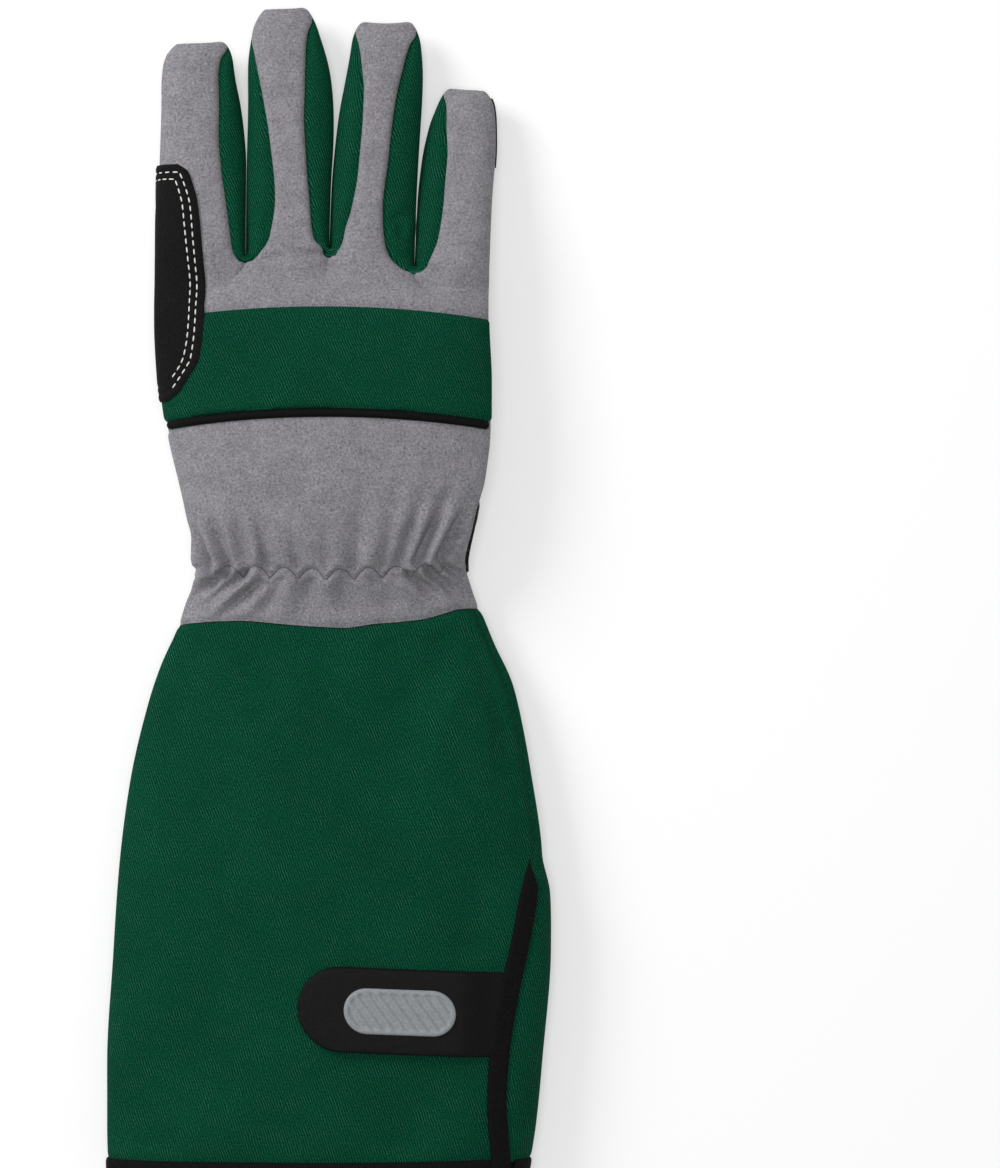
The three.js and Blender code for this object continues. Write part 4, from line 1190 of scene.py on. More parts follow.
def suede_finish():
    """Heathered grey suede: dark and pale flecks over slow mottling."""
    suede = Finish("suede", 0.95, sheen=0.1)
    place = suede.where()
    flecks = suede.noise(place, 1250, 5.0, 0.8)
    mottle = suede.noise(place, 160, 3.0, 0.6)
    colour = suede.ramp(
        flecks,
        (0.3, srgb(72, 71, 75)),
        (0.42, srgb(128, 126, 131)),
        (0.54, srgb(149, 147, 152)),
        (0.68, srgb(178, 177, 181)),
    )
    shade = suede.ramp(mottle, (0.3, grey(0.8)), (0.7, grey(1)))
    return suede.finish(suede.multiply(colour, shade), flecks, 0.0005)


TWILL_PITCH = 0.00088
TWILL_ACROSS = 0.93
TWILL_ALONG = 0.36


def twill_finish():
    """Deep green twill: steep slanting ribs that the crossing yarn breaks up."""
    twill = Finish("twill", 0.9, specular=0.05)
    place = twill.cloth()
    parts = twill.add("ShaderNodeSeparateXYZ", {0: place})
    across = twill.math("MULTIPLY", parts.outputs["X"], TWILL_ACROSS)
    along = twill.math("MULTIPLY", parts.outputs["Y"], TWILL_ALONG)
    wobble = twill.math("MULTIPLY", twill.noise(place, 300, 2.0), 0.0007)
    slant = twill.math("ADD", twill.math("ADD", across, along), wobble)
    rib = twill.math("SINE", twill.math("MULTIPLY", slant, 2 * math.pi / TWILL_PITCH), 0.0)
    patchy = twill.ramp(twill.noise(place, 170, 2.0), (0.35, grey(0.25)), (0.65, grey(1)))
    yarn = twill.noise(place, 1500, 3.0, 0.7)
    mixed = twill.math("ADD", twill.math("MULTIPLY", twill.math("MULTIPLY", rib, 0.26), patchy), yarn)
    colour = twill.ramp(
        mixed,
        (0.25, srgb(0, 38, 25)),
        (0.45, srgb(3, 60, 41)),
        (0.62, srgb(12, 76, 54)),
        (0.85, srgb(38, 104, 80)),
    )
    shade = twill.ramp(twill.noise(place, 40, 3.0), (0.3, grey(0.86)), (0.7, grey(1)))
    return twill.finish(twill.multiply(colour, shade), mixed, 0.0003)


def grained(name, roughness, grain, dark, light, depth, **gloss):
    """A material with fine specks from a dark to a light colour, which stand up as far as they are light."""
    finish = Finish(name, roughness, **gloss)
    specks = finish.noise(finish.where(), *grain)
    colour = finish.ramp(specks, (0.3, srgb(*dark)), (0.7, srgb(*light)))
    return finish.finish(colour, specks, depth)


def tape_finish():
    """Black binding tape with a fine grain."""
    return grained("tape", 0.8, (1800, 3.0, 0.7), (4, 4, 4), (22, 22, 23), 0.00025, specular=0.08)


def patch_finish():
    """Smooth black synthetic leather with a faint nap."""
    return grained("patch", 0.78, (1400, 4.0, 0.65), (8, 8, 8), (24, 24, 24), 0.0002, specular=0.08)


def pebble_finish():
    """Pebbled black coating of the palm patches, with a painted highlight on each pebble's top and painted
    shade in the hollows between.
    """
    pebble = Finish("pebble", 0.5, specular=0.3)
    inputs = {"Vector": pebble.where(), "Scale": 780.0, "Smoothness": 0.35}
    cells = pebble.add("ShaderNodeTexVoronoi", inputs, feature="SMOOTH_F1").outputs["Distance"]
    # Painted highlight and painted shade: the black is lighter where the cells rise and darker in the
    # hollows, just as the bumps are.
    colour = pebble.ramp(cells, (0.1, srgb(44, 44, 46)), (0.6, srgb(12, 12, 12)))
    return pebble.finish(colour, pebble.math("SUBTRACT", 1.0, cells), 0.0006)


def rubber_finish():
    """Matte black rubber face of the strap."""
    return grained("strap_rubber", 0.66, (900, 4.0, 0.6), (9, 9, 10), (17, 17, 19), 0.0001, specular=0.12)


def badge_finish():
    """Plain matte grey rubber."""
    dark, light = (126, 129, 132), (146, 149, 152)
    return grained("badge_grey", 0.6, (1100, 3.0, 0.6), dark, light, 0.0001, specular=0.3)


def thread_finish(name, dark, light):
    """Sewing thread with fine strands."""
    return grained(name, 0.8, (2600, 2.0), dark, light, 0.0001, sheen=0.2)


SUEDE = suede_finish()
TWILL = twill_finish()
TAPE = tape_finish()
PATCH = patch_finish()
PEBBLE = pebble_finish()
RUBBER = rubber_finish()
BADGE = badge_finish()
WHITE_THREAD = thread_finish("thread_white", (196, 194, 188), (236, 234, 230))
# Elastic thread: its grey is partly its own and partly painted shade, darker than the thread for the shadows
# round its stitches.
GREY_THREAD_WITH_PAINTED_SHADE = thread_finish("thread_grey_with_painted_shade", (66, 64, 68), (112, 110, 114))


# Pieces and the surfaces that others are laid on
surfaces = {}


def keep(obj, slot, *nodes):
    """Rides a piece on the glove and stands it for its solids; slot is not used."""
    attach(obj, "root")
    if nodes:
        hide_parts(*nodes)
    return obj


def add_panel(skin, panel, wall, material, slot, relief, **edge):
    """A panel of a skin as a sheet of its own, in place of its solid."""
    obj, surfaces[panel] = skin.sheet(panel, wall, material, relief, **edge)
    return keep(obj, slot, panel)


# The hand
FINGER_EASE = 0.8
WRIST_SPACING = 0.6
WRIST_COLUMNS = 241
STRIP_COLUMNS = 25


def rows_between(start, end, length, spacing=SPACING):
    return np.linspace(start, end, max(3, round(length / spacing) + 1))


def build_hand():
    """Panels of the hand, whose rows run from the fingertips down to the wrist."""
    skin = Skin()
    t = slow_ends(FINGER_ROWS, FINGER_EASE)
    t = np.unique(np.append(t, [strip["at"][-1] for strip in STRIP_SEAMS]))
    across, down = cosine_steps(FINGER_COLUMNS + 1)[None], t[::-1, None]
    for finger in FINGERS:
        skin.grid("hand_back", finger_point(finger, across, down, 1), turned=True)
        skin.grid("palm_panel", finger_point(finger, across, down, -1))
    whole = np.linspace(0, len(FINGERS), len(FINGERS) * FINGER_COLUMNS + 1)[None]
    bow_share = (2 * column_share(whole) - 1) ** 2
    lines = (1, BAND_TOP, PIPING_TOP, PIPING_BOTTOM)
    bands = [rows_between(high, low, (high - low) * HAND_LENGTH) for high, low in zip(lines, lines[1:])]
    for panel, band in zip(("hand_back", "knuckle_band", "band_piping"), bands):
        v = band[:, None]
        skin.grid(panel, column_point(whole, v - line_bow(v) * bow_share, True), turned=True)
    wrist = rows_between(PIPING_BOTTOM, 0, PIPING_BOTTOM * HAND_LENGTH, WRIST_SPACING)
    even = np.linspace(0, 1, WRIST_COLUMNS)[None]
    skin.grid("wrist_back", wrist_point(even, wrist[:, None]), turned=True)
    edges = np.concatenate([bands[0], *(band[1:] for band in (*bands[1:], wrist))])
    edges = (edges - line_bow(edges))[:, None]
    skin.grid("palm_panel", column_point(whole, edges, False))
    angles = np.pi * (0.5 - np.linspace(0, 1, STRIP_COLUMNS))[None]
    for left, right in zip(FINGERS, FINGERS[1:]):
        first = fourchette_side(left, t[t <= left["right"]["at"][-1]][::-1, None], angles, 1)
        second = fourchette_side(right, t[t <= right["left"]["at"][-1]][1:, None], angles, -1)
        rows = [np.concatenate(pair) for pair in zip(first, second)]
        skin.grid(f"fourchette_{left['name']}_{right['name']}", rows, turned=True)
    skin.weld()
    return skin


def fourchette_side(finger, t, angles, side):
    """The half of a side strip that lies on one finger, round from its back seam to its palm seam."""
    shape = finger_shape(finger, t)
    name = "right" if side > 0 else "left"
    out = np.cos(angles) * (np.abs(np.cos(angles)) > TINY)
    seam = shape["middle"] + side * shape[f"{name}_seam"]
    reach = shape["middle"] + side * shape["reach"]
    bulge = CROTCH_BULGE * np.clip(1 - t / BULGE_END, 0, 1) * out
    y = finger_y(finger, (side + 1) / 2, t) + bulge
    rise = shape["half_height"] * shape[f"{name}_height"] * np.sin(angles)
    return np.broadcast_arrays(blend(seam, reach, out) + STRIP_LEAN * rise * out, y, shape["centre"] + rise)


def strip_ends():
    """The places near the fingertips where the side strips end."""
    places = []
    for finger in FINGERS:
        for name, side in (("left", -1), ("right", 1)):
            if finger[name]:
                end = finger[name]["at"][-1]
                shape = finger_shape(finger, end)
                x = shape["middle"] + side * shape["reach"]
                places.append([x, finger_y(finger, (side + 1) / 2, end), shape["centre"]])
    return np.array(places, float)


def back_relief(points, distance):
    return fold_relief(points, HAND_FOLDS) + swell(points, "back") * smooth(0, CALM["back"], distance)


def palm_relief(points, distance):
    return (fold_relief(points, PALM_FOLDS) + swell(points, "palm")) * smooth(0, CALM["palm"], distance)


def fourchette_relief(points, distance):
    return fold_relief(points, STRIP_FOLDS) * smooth(0, CALM["strip"], distance)


# Elastic of the wrist: the ridges of its gathers and the groove of its seam
PUCKER_PLACES = 20
PUCKER_SEEDS = (21, 22)
PUCKER_MIDDLE = 0.7
PUCKER_RISE = (0.4, 3)
PUCKER_FADE = 1.5
ELASTIC_DEPTH = 0.7
ELASTIC_GROOVE = 0.9


def elastic_y(x):
    """The elastic follows the wrist seam halfway."""
    return ELASTIC + ELASTIC_FOLLOWS * seam_y(x)


def elastic_swing(x):
    """Zigzag with round tops and sharp lower points."""
    return ELASTIC_SWING * (2 * np.abs(np.sin(np.pi * x / PUCKER_PERIOD)) - 1)


def gather_reach(u, reaches, seed):
    """How far each pucker runs, drawn once for each and blended between them."""
    places = np.arange(-PUCKER_PLACES, PUCKER_PLACES + 1)
    draws = np.random.default_rng(seed).uniform(*reaches, len(places))
    return np.interp(u / PUCKER_PERIOD, places, draws)


def gathers(points):
    """Round ridges with sharp valleys that fan out from the elastic on both sides."""
    off = points[:, 1] - elastic_y(points[:, 0])
    above = off > 0
    u = points[:, 0] / (1 + np.where(above, FAN_UP, FAN_DOWN) * np.abs(off))
    u = u + PUCKER_PERIOD / 2 * (off < 0)
    reaches = [gather_reach(u, *row) for row in zip((REACH_UP, REACH_DOWN), PUCKER_SEEDS)]
    ridge = np.sqrt(np.sin(np.pi * u / PUCKER_PERIOD) ** 2 + PUCKER_SOFT) - PUCKER_MIDDLE
    fade = np.exp(-((np.abs(off) / np.where(above, *reaches)) ** PUCKER_FADE))
    return PUCKER_DEPTH * ridge * smooth(*PUCKER_RISE, np.abs(off)) * fade


def wrist_relief(points, distance):
    off = points[:, 1] - elastic_y(points[:, 0])
    groove = -ELASTIC_DEPTH * hump(off - elastic_swing(points[:, 0]), ELASTIC_GROOVE)
    height = fold_relief(points, WRIST_FOLDS, WRIST_DEEPER) + gathers(points) + groove
    return (height + swell(points, "wrist")) * smooth(0, CALM["wrist"], distance)


STRIP_ENDS = strip_ends()
BAND_RAISE = 0.25
BAND_REACH = 0.9

hand_skin = build_hand()
hand_back = add_panel(hand_skin, "hand_back", SUEDE_WALL, SUEDE, "suede", back_relief, flush=STRIP_ENDS)
knuckle_band = add_panel(
    hand_skin, "knuckle_band", TWILL_WALL, TWILL, "twill", back_relief, raised=BAND_RAISE, reach=BAND_REACH,
)
wrist_back = add_panel(hand_skin, "wrist_back", SUEDE_WALL, SUEDE, "suede", wrist_relief)
palm_panel = add_panel(hand_skin, "palm_panel", SUEDE_WALL, SUEDE, "suede", palm_relief, flush=STRIP_ENDS)
fourchettes = [
    add_panel(hand_skin, panel, TWILL_WALL, TWILL, "twill", fourchette_relief, flush=STRIP_ENDS)
    for panel in hand_skin.quads
    if panel.startswith("fourchette")
]


# Piping under the band
PIPING_WIDTH = 2.7
PIPING_SHORT = 0.3
PIPING_SINK = 0.4
PIPING_POINTS = 161
PIPING_STEP = 0.01


def build_piping():
    """A round cord under a strip of tape, from side to side."""
    column = np.linspace(PIPING_SHORT, len(FINGERS) - PIPING_SHORT, PIPING_POINTS)
    v = (PIPING_TOP + PIPING_BOTTOM) / 2 - LINE_BOW * (2 * column_share(column) - 1) ** 2
    points = stacked(column_point(column, v, True))
    above = stacked(column_point(column, v + PIPING_STEP, True))
    along = unit(np.gradient(points, axis=0))
    up = unit(np.cross(along, unit(above - points)))
    points = points - up * PIPING_SINK
    half = np.cross(up, along) * PIPING_WIDTH / 2
    return ribbon("band_piping", points - half, points + half, up, PIPING_WIDTH, TAPE, power=2)


band_piping = keep(build_piping(), "tape", "band_piping")


# The thumb
THUMB_ROWS = 110
THUMB_COLUMNS = 61
THUMB_EASE = 0.6

# Near the floor a relief bulges less: the most it may, and how high above the floor that is allowed
FLOOR_ROOM = 1.5
FLOOR_CLEAR = 4


def above_floor(points, height):
    """Keeps a relief from bulging down through the floor the glove lies on."""
    return np.minimum(height, FLOOR_ROOM * smooth(0, FLOOR_CLEAR, points[:, 2]))


def build_thumb():
    skin = Skin()
    at = blend(THUMB["at"][0], THUMB["at"][-1], slow_ends(THUMB_ROWS, THUMB_EASE))[:, None]
    across = cosine_steps(THUMB_COLUMNS)[None]
    skin.grid("thumb_inner", thumb_point(across, at, 1))
    skin.grid("thumb_outer", thumb_point(across, at, -1), turned=True)
    skin.weld()
    return skin


def thumb_relief(points, distance):
    return above_floor(points, swell(points, "thumb") * smooth(0, CALM["thumb"], distance))


thumb_skin = build_thumb()
thumb_outer = add_panel(thumb_skin, "thumb_outer", SUEDE_WALL, SUEDE, "suede", thumb_relief)
thumb_inner = add_panel(thumb_skin, "thumb_inner", SUEDE_WALL, SUEDE, "suede", thumb_relief)


# The cuff
CUFF_COLUMNS = 121
LID_COLUMNS = 16
CORNER_COLUMNS = 13
FLOOR_COLUMNS = 80
CUFF_FOLDS_HIGH = (6, 14)


def flap_shares(start):
    """Shares across the cuff from the edge of its palm side, round it to the thumb side."""
    lid = dome_angle(start)[:, None] * (1 - np.linspace(0, 1, LID_COLUMNS, endpoint=False))[None]
    corner = CORNER_SHARE / 2 * (1 - np.cos(np.pi / 2 * np.linspace(0, 1, CORNER_COLUMNS)))
    floor = blend(1 - CORNER_SHARE / 2, CORNER_SHARE / 2, np.linspace(0, 1, FLOOR_COLUMNS)[1:-1])
    return dome_share(lid), np.concatenate([1 - corner, floor, corner[::-1]])


def lifted(points, lift):
    """Points moved out along the normals of their own grid."""
    normals = unit(np.cross(np.gradient(points, axis=0), np.gradient(points, axis=1)))
    return points + normals * lift[..., None]


def build_cuff():
    """Back of the cuff up to the slit, and its palm side, whose flap runs up over the back."""
    skin = Skin()
    w = rows_between(0, 1 - HEM_WIDTH / CUFF_LENGTH, CUFF_LENGTH, CUFF_SPACING)[:, None]
    share = SIDE_SEAM * (1 + cosine_steps(CUFF_COLUMNS)[None]) / 2
    skin.grid("cuff_back", cuff_point(share, w, True), turned=True)
    lid, under = flap_shares(binding_end(w[:, 0]))
    top = stacked(cuff_point(lid, w, True))
    below = stacked(cuff_point(under[None], w, False))
    points = np.concatenate([top, below], 1)
    beyond = np.maximum(np.arange(points.shape[1]) - lid.shape[1], 0)
    points = lifted(points, flap_lift(w) * np.clip(1 - beyond / LIFT_FADE, 0, 1))
    skin.grid("cuff_palm", np.moveaxis(points, -1, 0), turned=True)
    skin.weld()
    return skin


def cuff_relief(points, distance):
    height = fold_relief(points, CUFF_FOLDS) * smooth(*CUFF_FOLDS_HIGH, points[:, 2]) + swell(points, "cuff")
    return above_floor(points, height * smooth(0, CALM["cuff"], distance))


cuff_skin = build_cuff()
cuff_back = add_panel(cuff_skin, "cuff_back", TWILL_WALL, TWILL, "twill", cuff_relief)
cuff_palm = add_panel(cuff_skin, "cuff_palm", TWILL_WALL, TWILL, "twill", cuff_relief)


# Tapes of the slit and the hem
SLIT_ROWS = 120
HEM_OVERLAP = 0.8
HEM_CLIMB = 10


def across_normals(left, right):
    return unit(np.cross(right - left, np.gradient((left + right) / 2, axis=0)))


def build_slit_binding():
    """Tape folded over the edge of the flap, from the top of the slit down to the hem."""
    w = np.linspace(FLAP_START, 1, SLIT_ROWS)
    left = stacked(cuff_point(slit_edge(w), w, True))
    right = stacked(cuff_point(binding_end(w) + TINY, w, True))
    up = across_normals(left, right)
    up = up * np.sign(up[:, 2:])
    base = up * (flap_lift(w) - TWILL_WALL / 2)[:, None]
    wall = TWILL_WALL + 2 * TAPE_WALL * smooth(FLAP_START, LIFT_ROW, w)
    return ribbon("slit_binding", left + base, right + base, up, wall, TAPE)


def build_hem():
    """Tape folded over the lower edge, all the way round from the slit to the flap."""
    end = np.array([1.0])
    w = np.array([1 - (HEM_WIDTH + HEM_OVERLAP) / CUFF_LENGTH, 1.0])[:, None]
    back = SIDE_SEAM * (1 - cosine_steps(CUFF_COLUMNS)) / 2
    _, under = flap_shares(end)
    lid = dome_share(dome_angle(binding_end(end))[:, None] * np.linspace(1, 0, LID_COLUMNS)[None])[0]
    top, below, flap = (
        stacked(cuff_point(share[None], w, is_back))
        for share, is_back in ((back, True), (under[::-1], False), (lid[::-1], True))
    )
    lines = np.concatenate([top, below[:, 1:], flap[:, 1:]], 1)
    up = across_normals(lines[0], lines[1])
    away = (lines[0] - lines.mean((0, 1))) * up * np.array([1, 0, 1])
    up = up * np.sign(away.sum(1))[:, None]
    lift = np.zeros(lines.shape[1])
    lift[-len(lid) - HEM_CLIMB:] = FLAP_LIFT * np.clip(np.arange(len(lid) + HEM_CLIMB) / HEM_CLIMB, 0, 1)
    wall = TWILL_WALL + 2 * TAPE_WALL
    base = up * (lift - TWILL_WALL / 2)[:, None]
    base[:, 2] += np.maximum(0, wall / 2 - lines[:, :, 2].min(0) - base[:, 2])
    return ribbon("hem_binding", lines[0] + base, lines[1] + base, up, wall, TAPE)


slit_binding = keep(build_slit_binding(), "tape", "slit_binding")
hem_binding = keep(build_hem(), "tape", "hem_binding_back", "hem_binding_palm")


# Patches of the palm and of the thumb
PATCH_STEP = 1.2
SHORTEST_ROW = 6
STITCH_SINK = 0.1
GROOVE_DEPTH = 0.3
GROOVE_WIDTH = 0.7


def stitched_groove(insets, depth=GROOVE_DEPTH):
    """A relief that sinks under rows of stitches."""
    def relief(_, distance):
        return -sum(depth * hump(distance - inset, GROOVE_WIDTH) for inset in insets)
    return relief


def add_patch(name, pairs, face, material, insets):
    """A patch under a face of the glove, and the lines of its stitches."""
    outline = closed_curve(np.array(pairs) * np.array([HAND_WIDTH, HAND_LENGTH]), PATCH_STEP)
    groove = stitched_groove(insets)
    keep(plan_sheet(name, outline, surfaces[face], False, GAP, PATCH_WALL, material, groove), "patch", name)
    lines = []
    for inset in insets:
        plan = inset_line(outline, inset)
        if len(plan) > SHORTEST_ROW:
            places, normals = surfaces[face].place(np.concatenate([plan, plan[:1]]), False)
            lines.append((places + normals * (GAP + PATCH_WALL - STITCH_SINK), normals))
    return lines


white_lines = []
for name, pairs in PATCHES.items():
    white_lines += add_patch(name, pairs, "palm_panel", PEBBLE, (*STITCH_ROWS, QUILT_INSET))
white_lines += add_patch("web_patch_thumb", WEB_THUMB, "thumb_outer", PATCH, STITCH_ROWS)


# Patch along the index side
WEB_COLUMNS = 400
WEB_SIDE_ROWS = 90
WEB_SIDE_COLUMNS = 61
WEB_EASE = 0.7
WEB_RAISE = PATCH_WALL
WEB_DIP = 0.4
WEB_REACH = 0.7
WEB_GROOVE = 0.25

# Its stitches: how many places they are laid through, and how far they keep from the fold
WEB_STITCH_ROWS = 60
WEB_STITCH_TOP = 12
WEB_STITCH_FROM = 4.5
WEB_STITCH_LEAST = 0.5


def web_length():
    return (1 - WEB_BOTTOM) * HAND_LENGTH + WEB_TOP * INDEX_LENGTH


def web_point(at, reach, is_back):
    """A point of the index side that lies the given distance in from the edge."""
    index = FINGERS[0]
    on_hand = (1 - WEB_BOTTOM) * HAND_LENGTH
    along = at * web_length()
    if along < on_hand:
        v = WEB_BOTTOM + along / HAND_LENGTH
        columns = np.linspace(0, 1, WEB_COLUMNS)
        x = column_point(columns, np.full(WEB_COLUMNS, v), is_back)[0]
        column = np.interp(reach, x - x[0], columns)
        return stacked(column_point(column, np.full(len(column), v), is_back))
    t = np.array((along - on_hand) / index["length"])
    shape = finger_shape(index, t)
    across = np.clip(2 * reach / (shape["left_seam"] + shape["right_seam"]) - 1, -1, 1)
    return stacked(finger_point(index, across, t + 0 * across, 1 if is_back else -1))


def web_reach(key, at):
    """How far the patch reaches over the back or the palm."""
    return HAND_WIDTH * sample(WEB_SIDE, key, at)


def web_row(at, shares):
    """Points across the patch: shares run from -1 at its edge on the back to 1 on the palm."""
    over = web_point(at, web_reach("back", at) * shares[shares < 0] ** 2, True)
    under = web_point(at, web_reach("palm", at) * shares[shares >= 0] ** 2, False)
    return np.concatenate([over, under])


def build_web_side():
    shares = np.linspace(-1, 1, WEB_SIDE_COLUMNS)
    grid = np.stack([web_row(at, shares) for at in slow_ends(WEB_SIDE_ROWS, WEB_EASE)[::-1]])
    skin = Skin()
    skin.grid("web_patch_index", np.moveaxis(grid, -1, 0))
    skin.weld()
    return skin


def web_edge_rows():
    """Stitch rows along the patch's edges on the back, the palm and the top."""
    face = surfaces["web_patch_index"]
    lines = []
    for inset in STITCH_ROWS:
        margin = inset / web_length()
        at = np.linspace(margin, 1 - margin, WEB_STITCH_ROWS)
        for is_back, key in ((True, "back"), (False, "palm")):
            points = [
                web_point(row, np.array([reach]), is_back)[0]
                for row, reach in zip(at, web_reach(key, at) - inset)
                if reach > WEB_STITCH_FROM
            ]
            if len(points) > 2:
                lines.append(face.nearest(points))
        back = max(float(web_reach("back", 1 - margin)) - inset, WEB_STITCH_LEAST)
        lines.append(face.nearest(web_point(1 - margin, np.linspace(0, back, WEB_STITCH_TOP), True)))
    return lines


web_patch_index = add_panel(
    build_web_side(), "web_patch_index", PATCH_WALL, PATCH, "patch", stitched_groove(STITCH_ROWS, WEB_GROOVE),
    raised=WEB_RAISE, depth=WEB_DIP, reach=WEB_REACH,
)
white_lines += web_edge_rows()


# Fingertip patches
TIP_ROWS = 46
TIP_COLUMNS = 33
TIP_RAISE = 2 * GAP + PATCH_WALL
TIP_DIP = 0.5
TIP_EDGE = 0.7
TIP_STITCH_REACH = 0.96


def tip_relief(points, _):
    return swell(points, "tip")


def add_tip_patch(finger):
    """The patch on the front of a fingertip, and the lines of its stitches."""
    name = f"fingertip_patch_{finger['name']}"
    t = np.linspace(TIP_PATCH_END, 1 - finger["patch"], TIP_ROWS)[:, None]
    across = cosine_steps(TIP_COLUMNS)[None] * TIP_PATCH_REACH
    skin = Skin()
    skin.grid(name, finger_point(finger, across, t, -1))
    skin.weld()
    edge = dict(raised=TIP_RAISE, depth=TIP_DIP, reach=TIP_EDGE)
    add_panel(skin, name, PATCH_WALL, PATCH, "patch", tip_relief, **edge)
    lines = []
    for inset in STITCH_ROWS:
        low = 1 - finger["patch"] + inset / finger["length"]
        line = finger_point(finger, across[0] * TIP_STITCH_REACH, np.full(TIP_COLUMNS, low), -1)
        lines.append(surfaces[name].nearest(stacked(line)))
    return lines


for finger in FINGERS:
    white_lines += add_tip_patch(finger)


# Strap, its pad and its badge
def slit_x(y):
    w = np.clip(-y / CUFF_LENGTH, 0, 1)
    section = cuff_section(w)
    return blend(section["left"], section["right"], slit_edge(w))


STRAP_END = float(slit_x(-STRAP_FROM_SEAM)) - STRAP_LENGTH
STRAP_TUCK = 3
STRAP_RAISE = GAP + PAD_WALL + GAP
CORNER_RADIUS = 2
CORNER_STEPS = 14
OUTLINE_STEP = 1

# Where the strap goes down under the binding: its start and end before the slit, raise and wall
DIVE_START = 14
DIVE_END = 1
DIVE_RAISE = 0.1
DIVE_WALL = 1.3

# Lip along the strap's edge
LIP_DEPTH = 0.35
LIP_INSET = 1.6
LIP_WIDTH = 0.5

# Ribs of the badge: their slant, pitch and depth, and where its plain rim ends
RIB_SLANT = (0.8, 0.6)
RIB_PITCH = 3.2
RIB_DEPTH = 0.7
BADGE_RIM = (1.4, 2)
BADGE_GAP = 0.02
BADGE_SPACING = 0.55


def strap_axis(x):
    return -STRAP_FROM_SEAM + STRAP_TILT * (x - STRAP_END)


def long_outline(start, end, width, round_start, round_end):
    """Outline of a strip along the strap's axis, each end round or with small corners."""
    half = width / 2
    left = half if round_start else CORNER_RADIUS
    right = half if round_end else CORNER_RADIUS
    turn = np.linspace(0, np.pi / 2, CORNER_STEPS)
    corners = []
    for x, y, radius, first in (
        (end - right, half - right, right, 0),
        (start + left, half - left, left, 1),
        (start + left, -half + left, left, 2),
        (end - right, -half + right, right, 3),
    ):
        angle = turn + first * np.pi / 2
        corners.append(np.stack([x + radius * np.cos(angle), y + radius * np.sin(angle)], -1))
    points = np.concatenate([*corners, corners[0][:1]])
    points[:, 1] += strap_axis(points[:, 0])
    return even_line(points, OUTLINE_STEP)[:-1]


def strap_dive(plan):
    """0 along the strap, rising to 1 where it runs under the binding."""
    end = STRAP_END + STRAP_LENGTH
    return smooth(end - DIVE_START, end - DIVE_END, plan[:, 0])


def strap_raise(plan):
    return blend(STRAP_RAISE, DIVE_RAISE, strap_dive(plan))


def strap_relief(plan, distance):
    return -LIP_DEPTH * hump(distance - LIP_INSET, LIP_WIDTH) - strap_dive(plan) * (STRAP_WALL - DIVE_WALL)


def badge_relief(plan, distance):
    """Slanting ribs inside a plain rim."""
    across, along = RIB_SLANT
    slant = (plan[:, 0] - STRAP_END) * across + (plan[:, 1] - strap_axis(plan[:, 0])) * along
    rib = (1 + np.cos(2 * np.pi * slant / RIB_PITCH)) / 2
    return -RIB_DEPTH * (1 - rib) * smooth(*BADGE_RIM, distance)


def add_strap_piece(name, slot, inset, length, width, ends, *sheet, **shape):
    """A piece that lies on the cuff along the strap's axis, inset from the strap's round end."""
    start = STRAP_END + inset
    outline = long_outline(start, start + length, width, *ends)
    return keep(plan_sheet(name, outline, surfaces["cuff_back"], True, *sheet, **shape), slot, name)


hook_pad = add_strap_piece(
    "hook_pad", "tape", PAD_INSET, PAD_LENGTH, PAD_WIDTH, (False, False), GAP, PAD_WALL, TAPE,
)
strap = add_strap_piece(
    "strap", "strap_rubber", 0, STRAP_LENGTH + STRAP_TUCK, STRAP_WIDTH, (True, False),
    strap_raise, STRAP_WALL, RUBBER, strap_relief,
)
badge = add_strap_piece(
    "strap_badge", "badge_grey", BADGE_INSET, BADGE_LENGTH, BADGE_WIDTH, (True, True),
    STRAP_RAISE + STRAP_WALL + BADGE_GAP, BADGE_WALL, BADGE, badge_relief, spacing=BADGE_SPACING,
)


# Stitches of the patches and of the elastic
ELASTIC_SPAN = (-0.33, 0.36)
ELASTIC_POINTS = 800
ELASTIC_STITCH = dict(length=1.5, pitch=1.9, radius=0.26)


def elastic_line():
    """Zigzag of the elastic across the gathered wrist."""
    x = np.linspace(*ELASTIC_SPAN, ELASTIC_POINTS) * HAND_WIDTH
    return surfaces["wrist_back"].place(stacked((x, elastic_y(x) + elastic_swing(x))), True)


stitches_white = keep(stitches("stitches_white", white_lines, WHITE_THREAD), "suede")
stitches_elastic = stitches("stitches_elastic", [elastic_line()], GREY_THREAD_WITH_PAINTED_SHADE, **ELASTIC_STITCH)
keep(stitches_elastic, "suede")

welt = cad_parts["thumb_welt"]
welt.data.materials.clear()
welt.data.materials.append(SUEDE)


palm_pieces = [f"{name}_detail" for name in PATCHES]
palm_pieces += [f"fingertip_patch_{finger['name']}_detail" for finger in FINGERS]


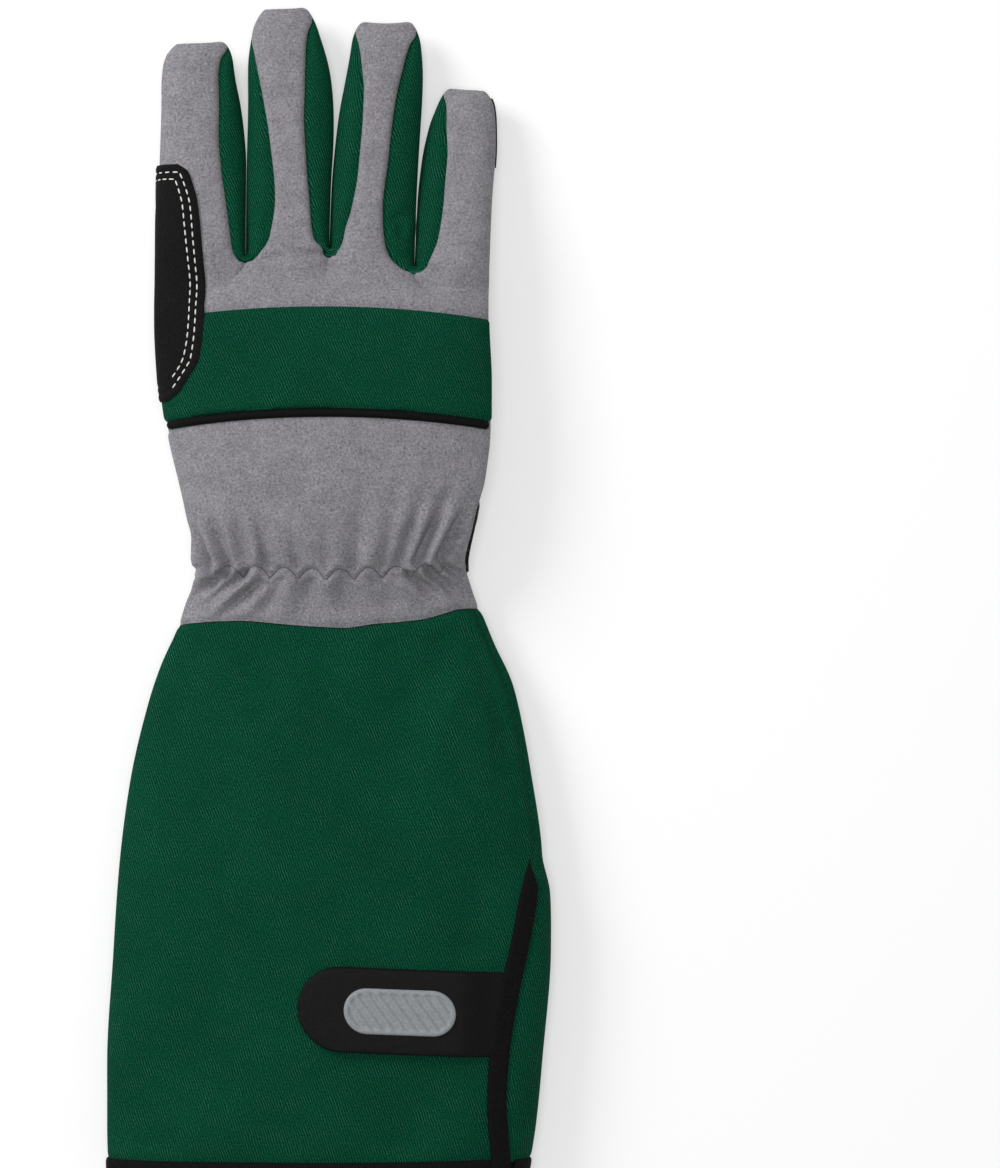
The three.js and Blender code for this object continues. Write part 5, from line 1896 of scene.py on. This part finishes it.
# Floor, light and camera, in metres
FLOOR_REACH = 6
FLOOR_GREY = 0.6
# The floor glows as well as reflecting: painted light that fills in the glove's shadow on the floor and
# lights the glove a little from below.
FLOOR_GLOW = 0.4
WORLD_STRENGTH = 0.34

# Place, size and power of each light
LIGHTS = dict(overhead=((0, 0, 1.9), 0.7, 14), key=((-1.2, 0.9, 1.0), 0.9, 21))


def build_floor():
    mesh = bpy.data.meshes.new("floor")
    signs = ((-1, -1), (1, -1), (1, 1), (-1, 1))
    mesh.from_pydata([(x * FLOOR_REACH, y * FLOOR_REACH, 0) for x, y in signs], [], [(0, 1, 2, 3)])
    finish = Finish("floor", 0.9)
    finish.shader.inputs["Base Color"].default_value = grey(FLOOR_GREY)
    finish.shader.inputs["Emission Color"].default_value = grey(1)
    finish.shader.inputs["Emission Strength"].default_value = FLOOR_GLOW
    mesh.materials.append(finish.material)
    linked("floor", mesh)


def add_light(name, place, size, power):
    data = bpy.data.lights.new(name, "AREA")
    data.shape = "DISK"
    data.size = size
    data.energy = power
    light = linked(name, data)
    light.location = place
    light.rotation_mode = "QUATERNION"
    light.rotation_quaternion = (-Vector(place)).to_track_quat("-Z", "Y")


def build_studio():
    """Even white light from all round, and two lamps."""
    world = bpy.data.worlds.new("studio")
    world.use_nodes = True
    background = world.node_tree.nodes["Background"]
    background.inputs["Color"].default_value = grey(1)
    background.inputs["Strength"].default_value = WORLD_STRENGTH
    bpy.context.scene.world = world
    bpy.context.scene.view_settings.view_transform = "Standard"
    for name, light in LIGHTS.items():
        add_light(name, *light)


CAMERA_HEIGHT = 1.6
SENSOR = 36
VIEW_PLANE = 12


def build_camera():
    """Straight above the place that is the middle of the photo."""
    data = bpy.data.cameras.new("camera")
    x, y = photo_point(PHOTO_WIDTH / 2, PHOTO_HEIGHT / 2)
    data.sensor_width = SENSOR
    data.lens = SENSOR * (CAMERA_HEIGHT - VIEW_PLANE * MM) / (PHOTO_HEIGHT * PHOTO_SCALE * MM)
    place = (np.array([x, y, 0]) + SEAM_PLACE) * MM
    camera = linked("camera", data)
    camera.location = (place[0], place[1], CAMERA_HEIGHT)
    bpy.context.scene.camera = camera


build_floor()
build_studio()
build_camera()
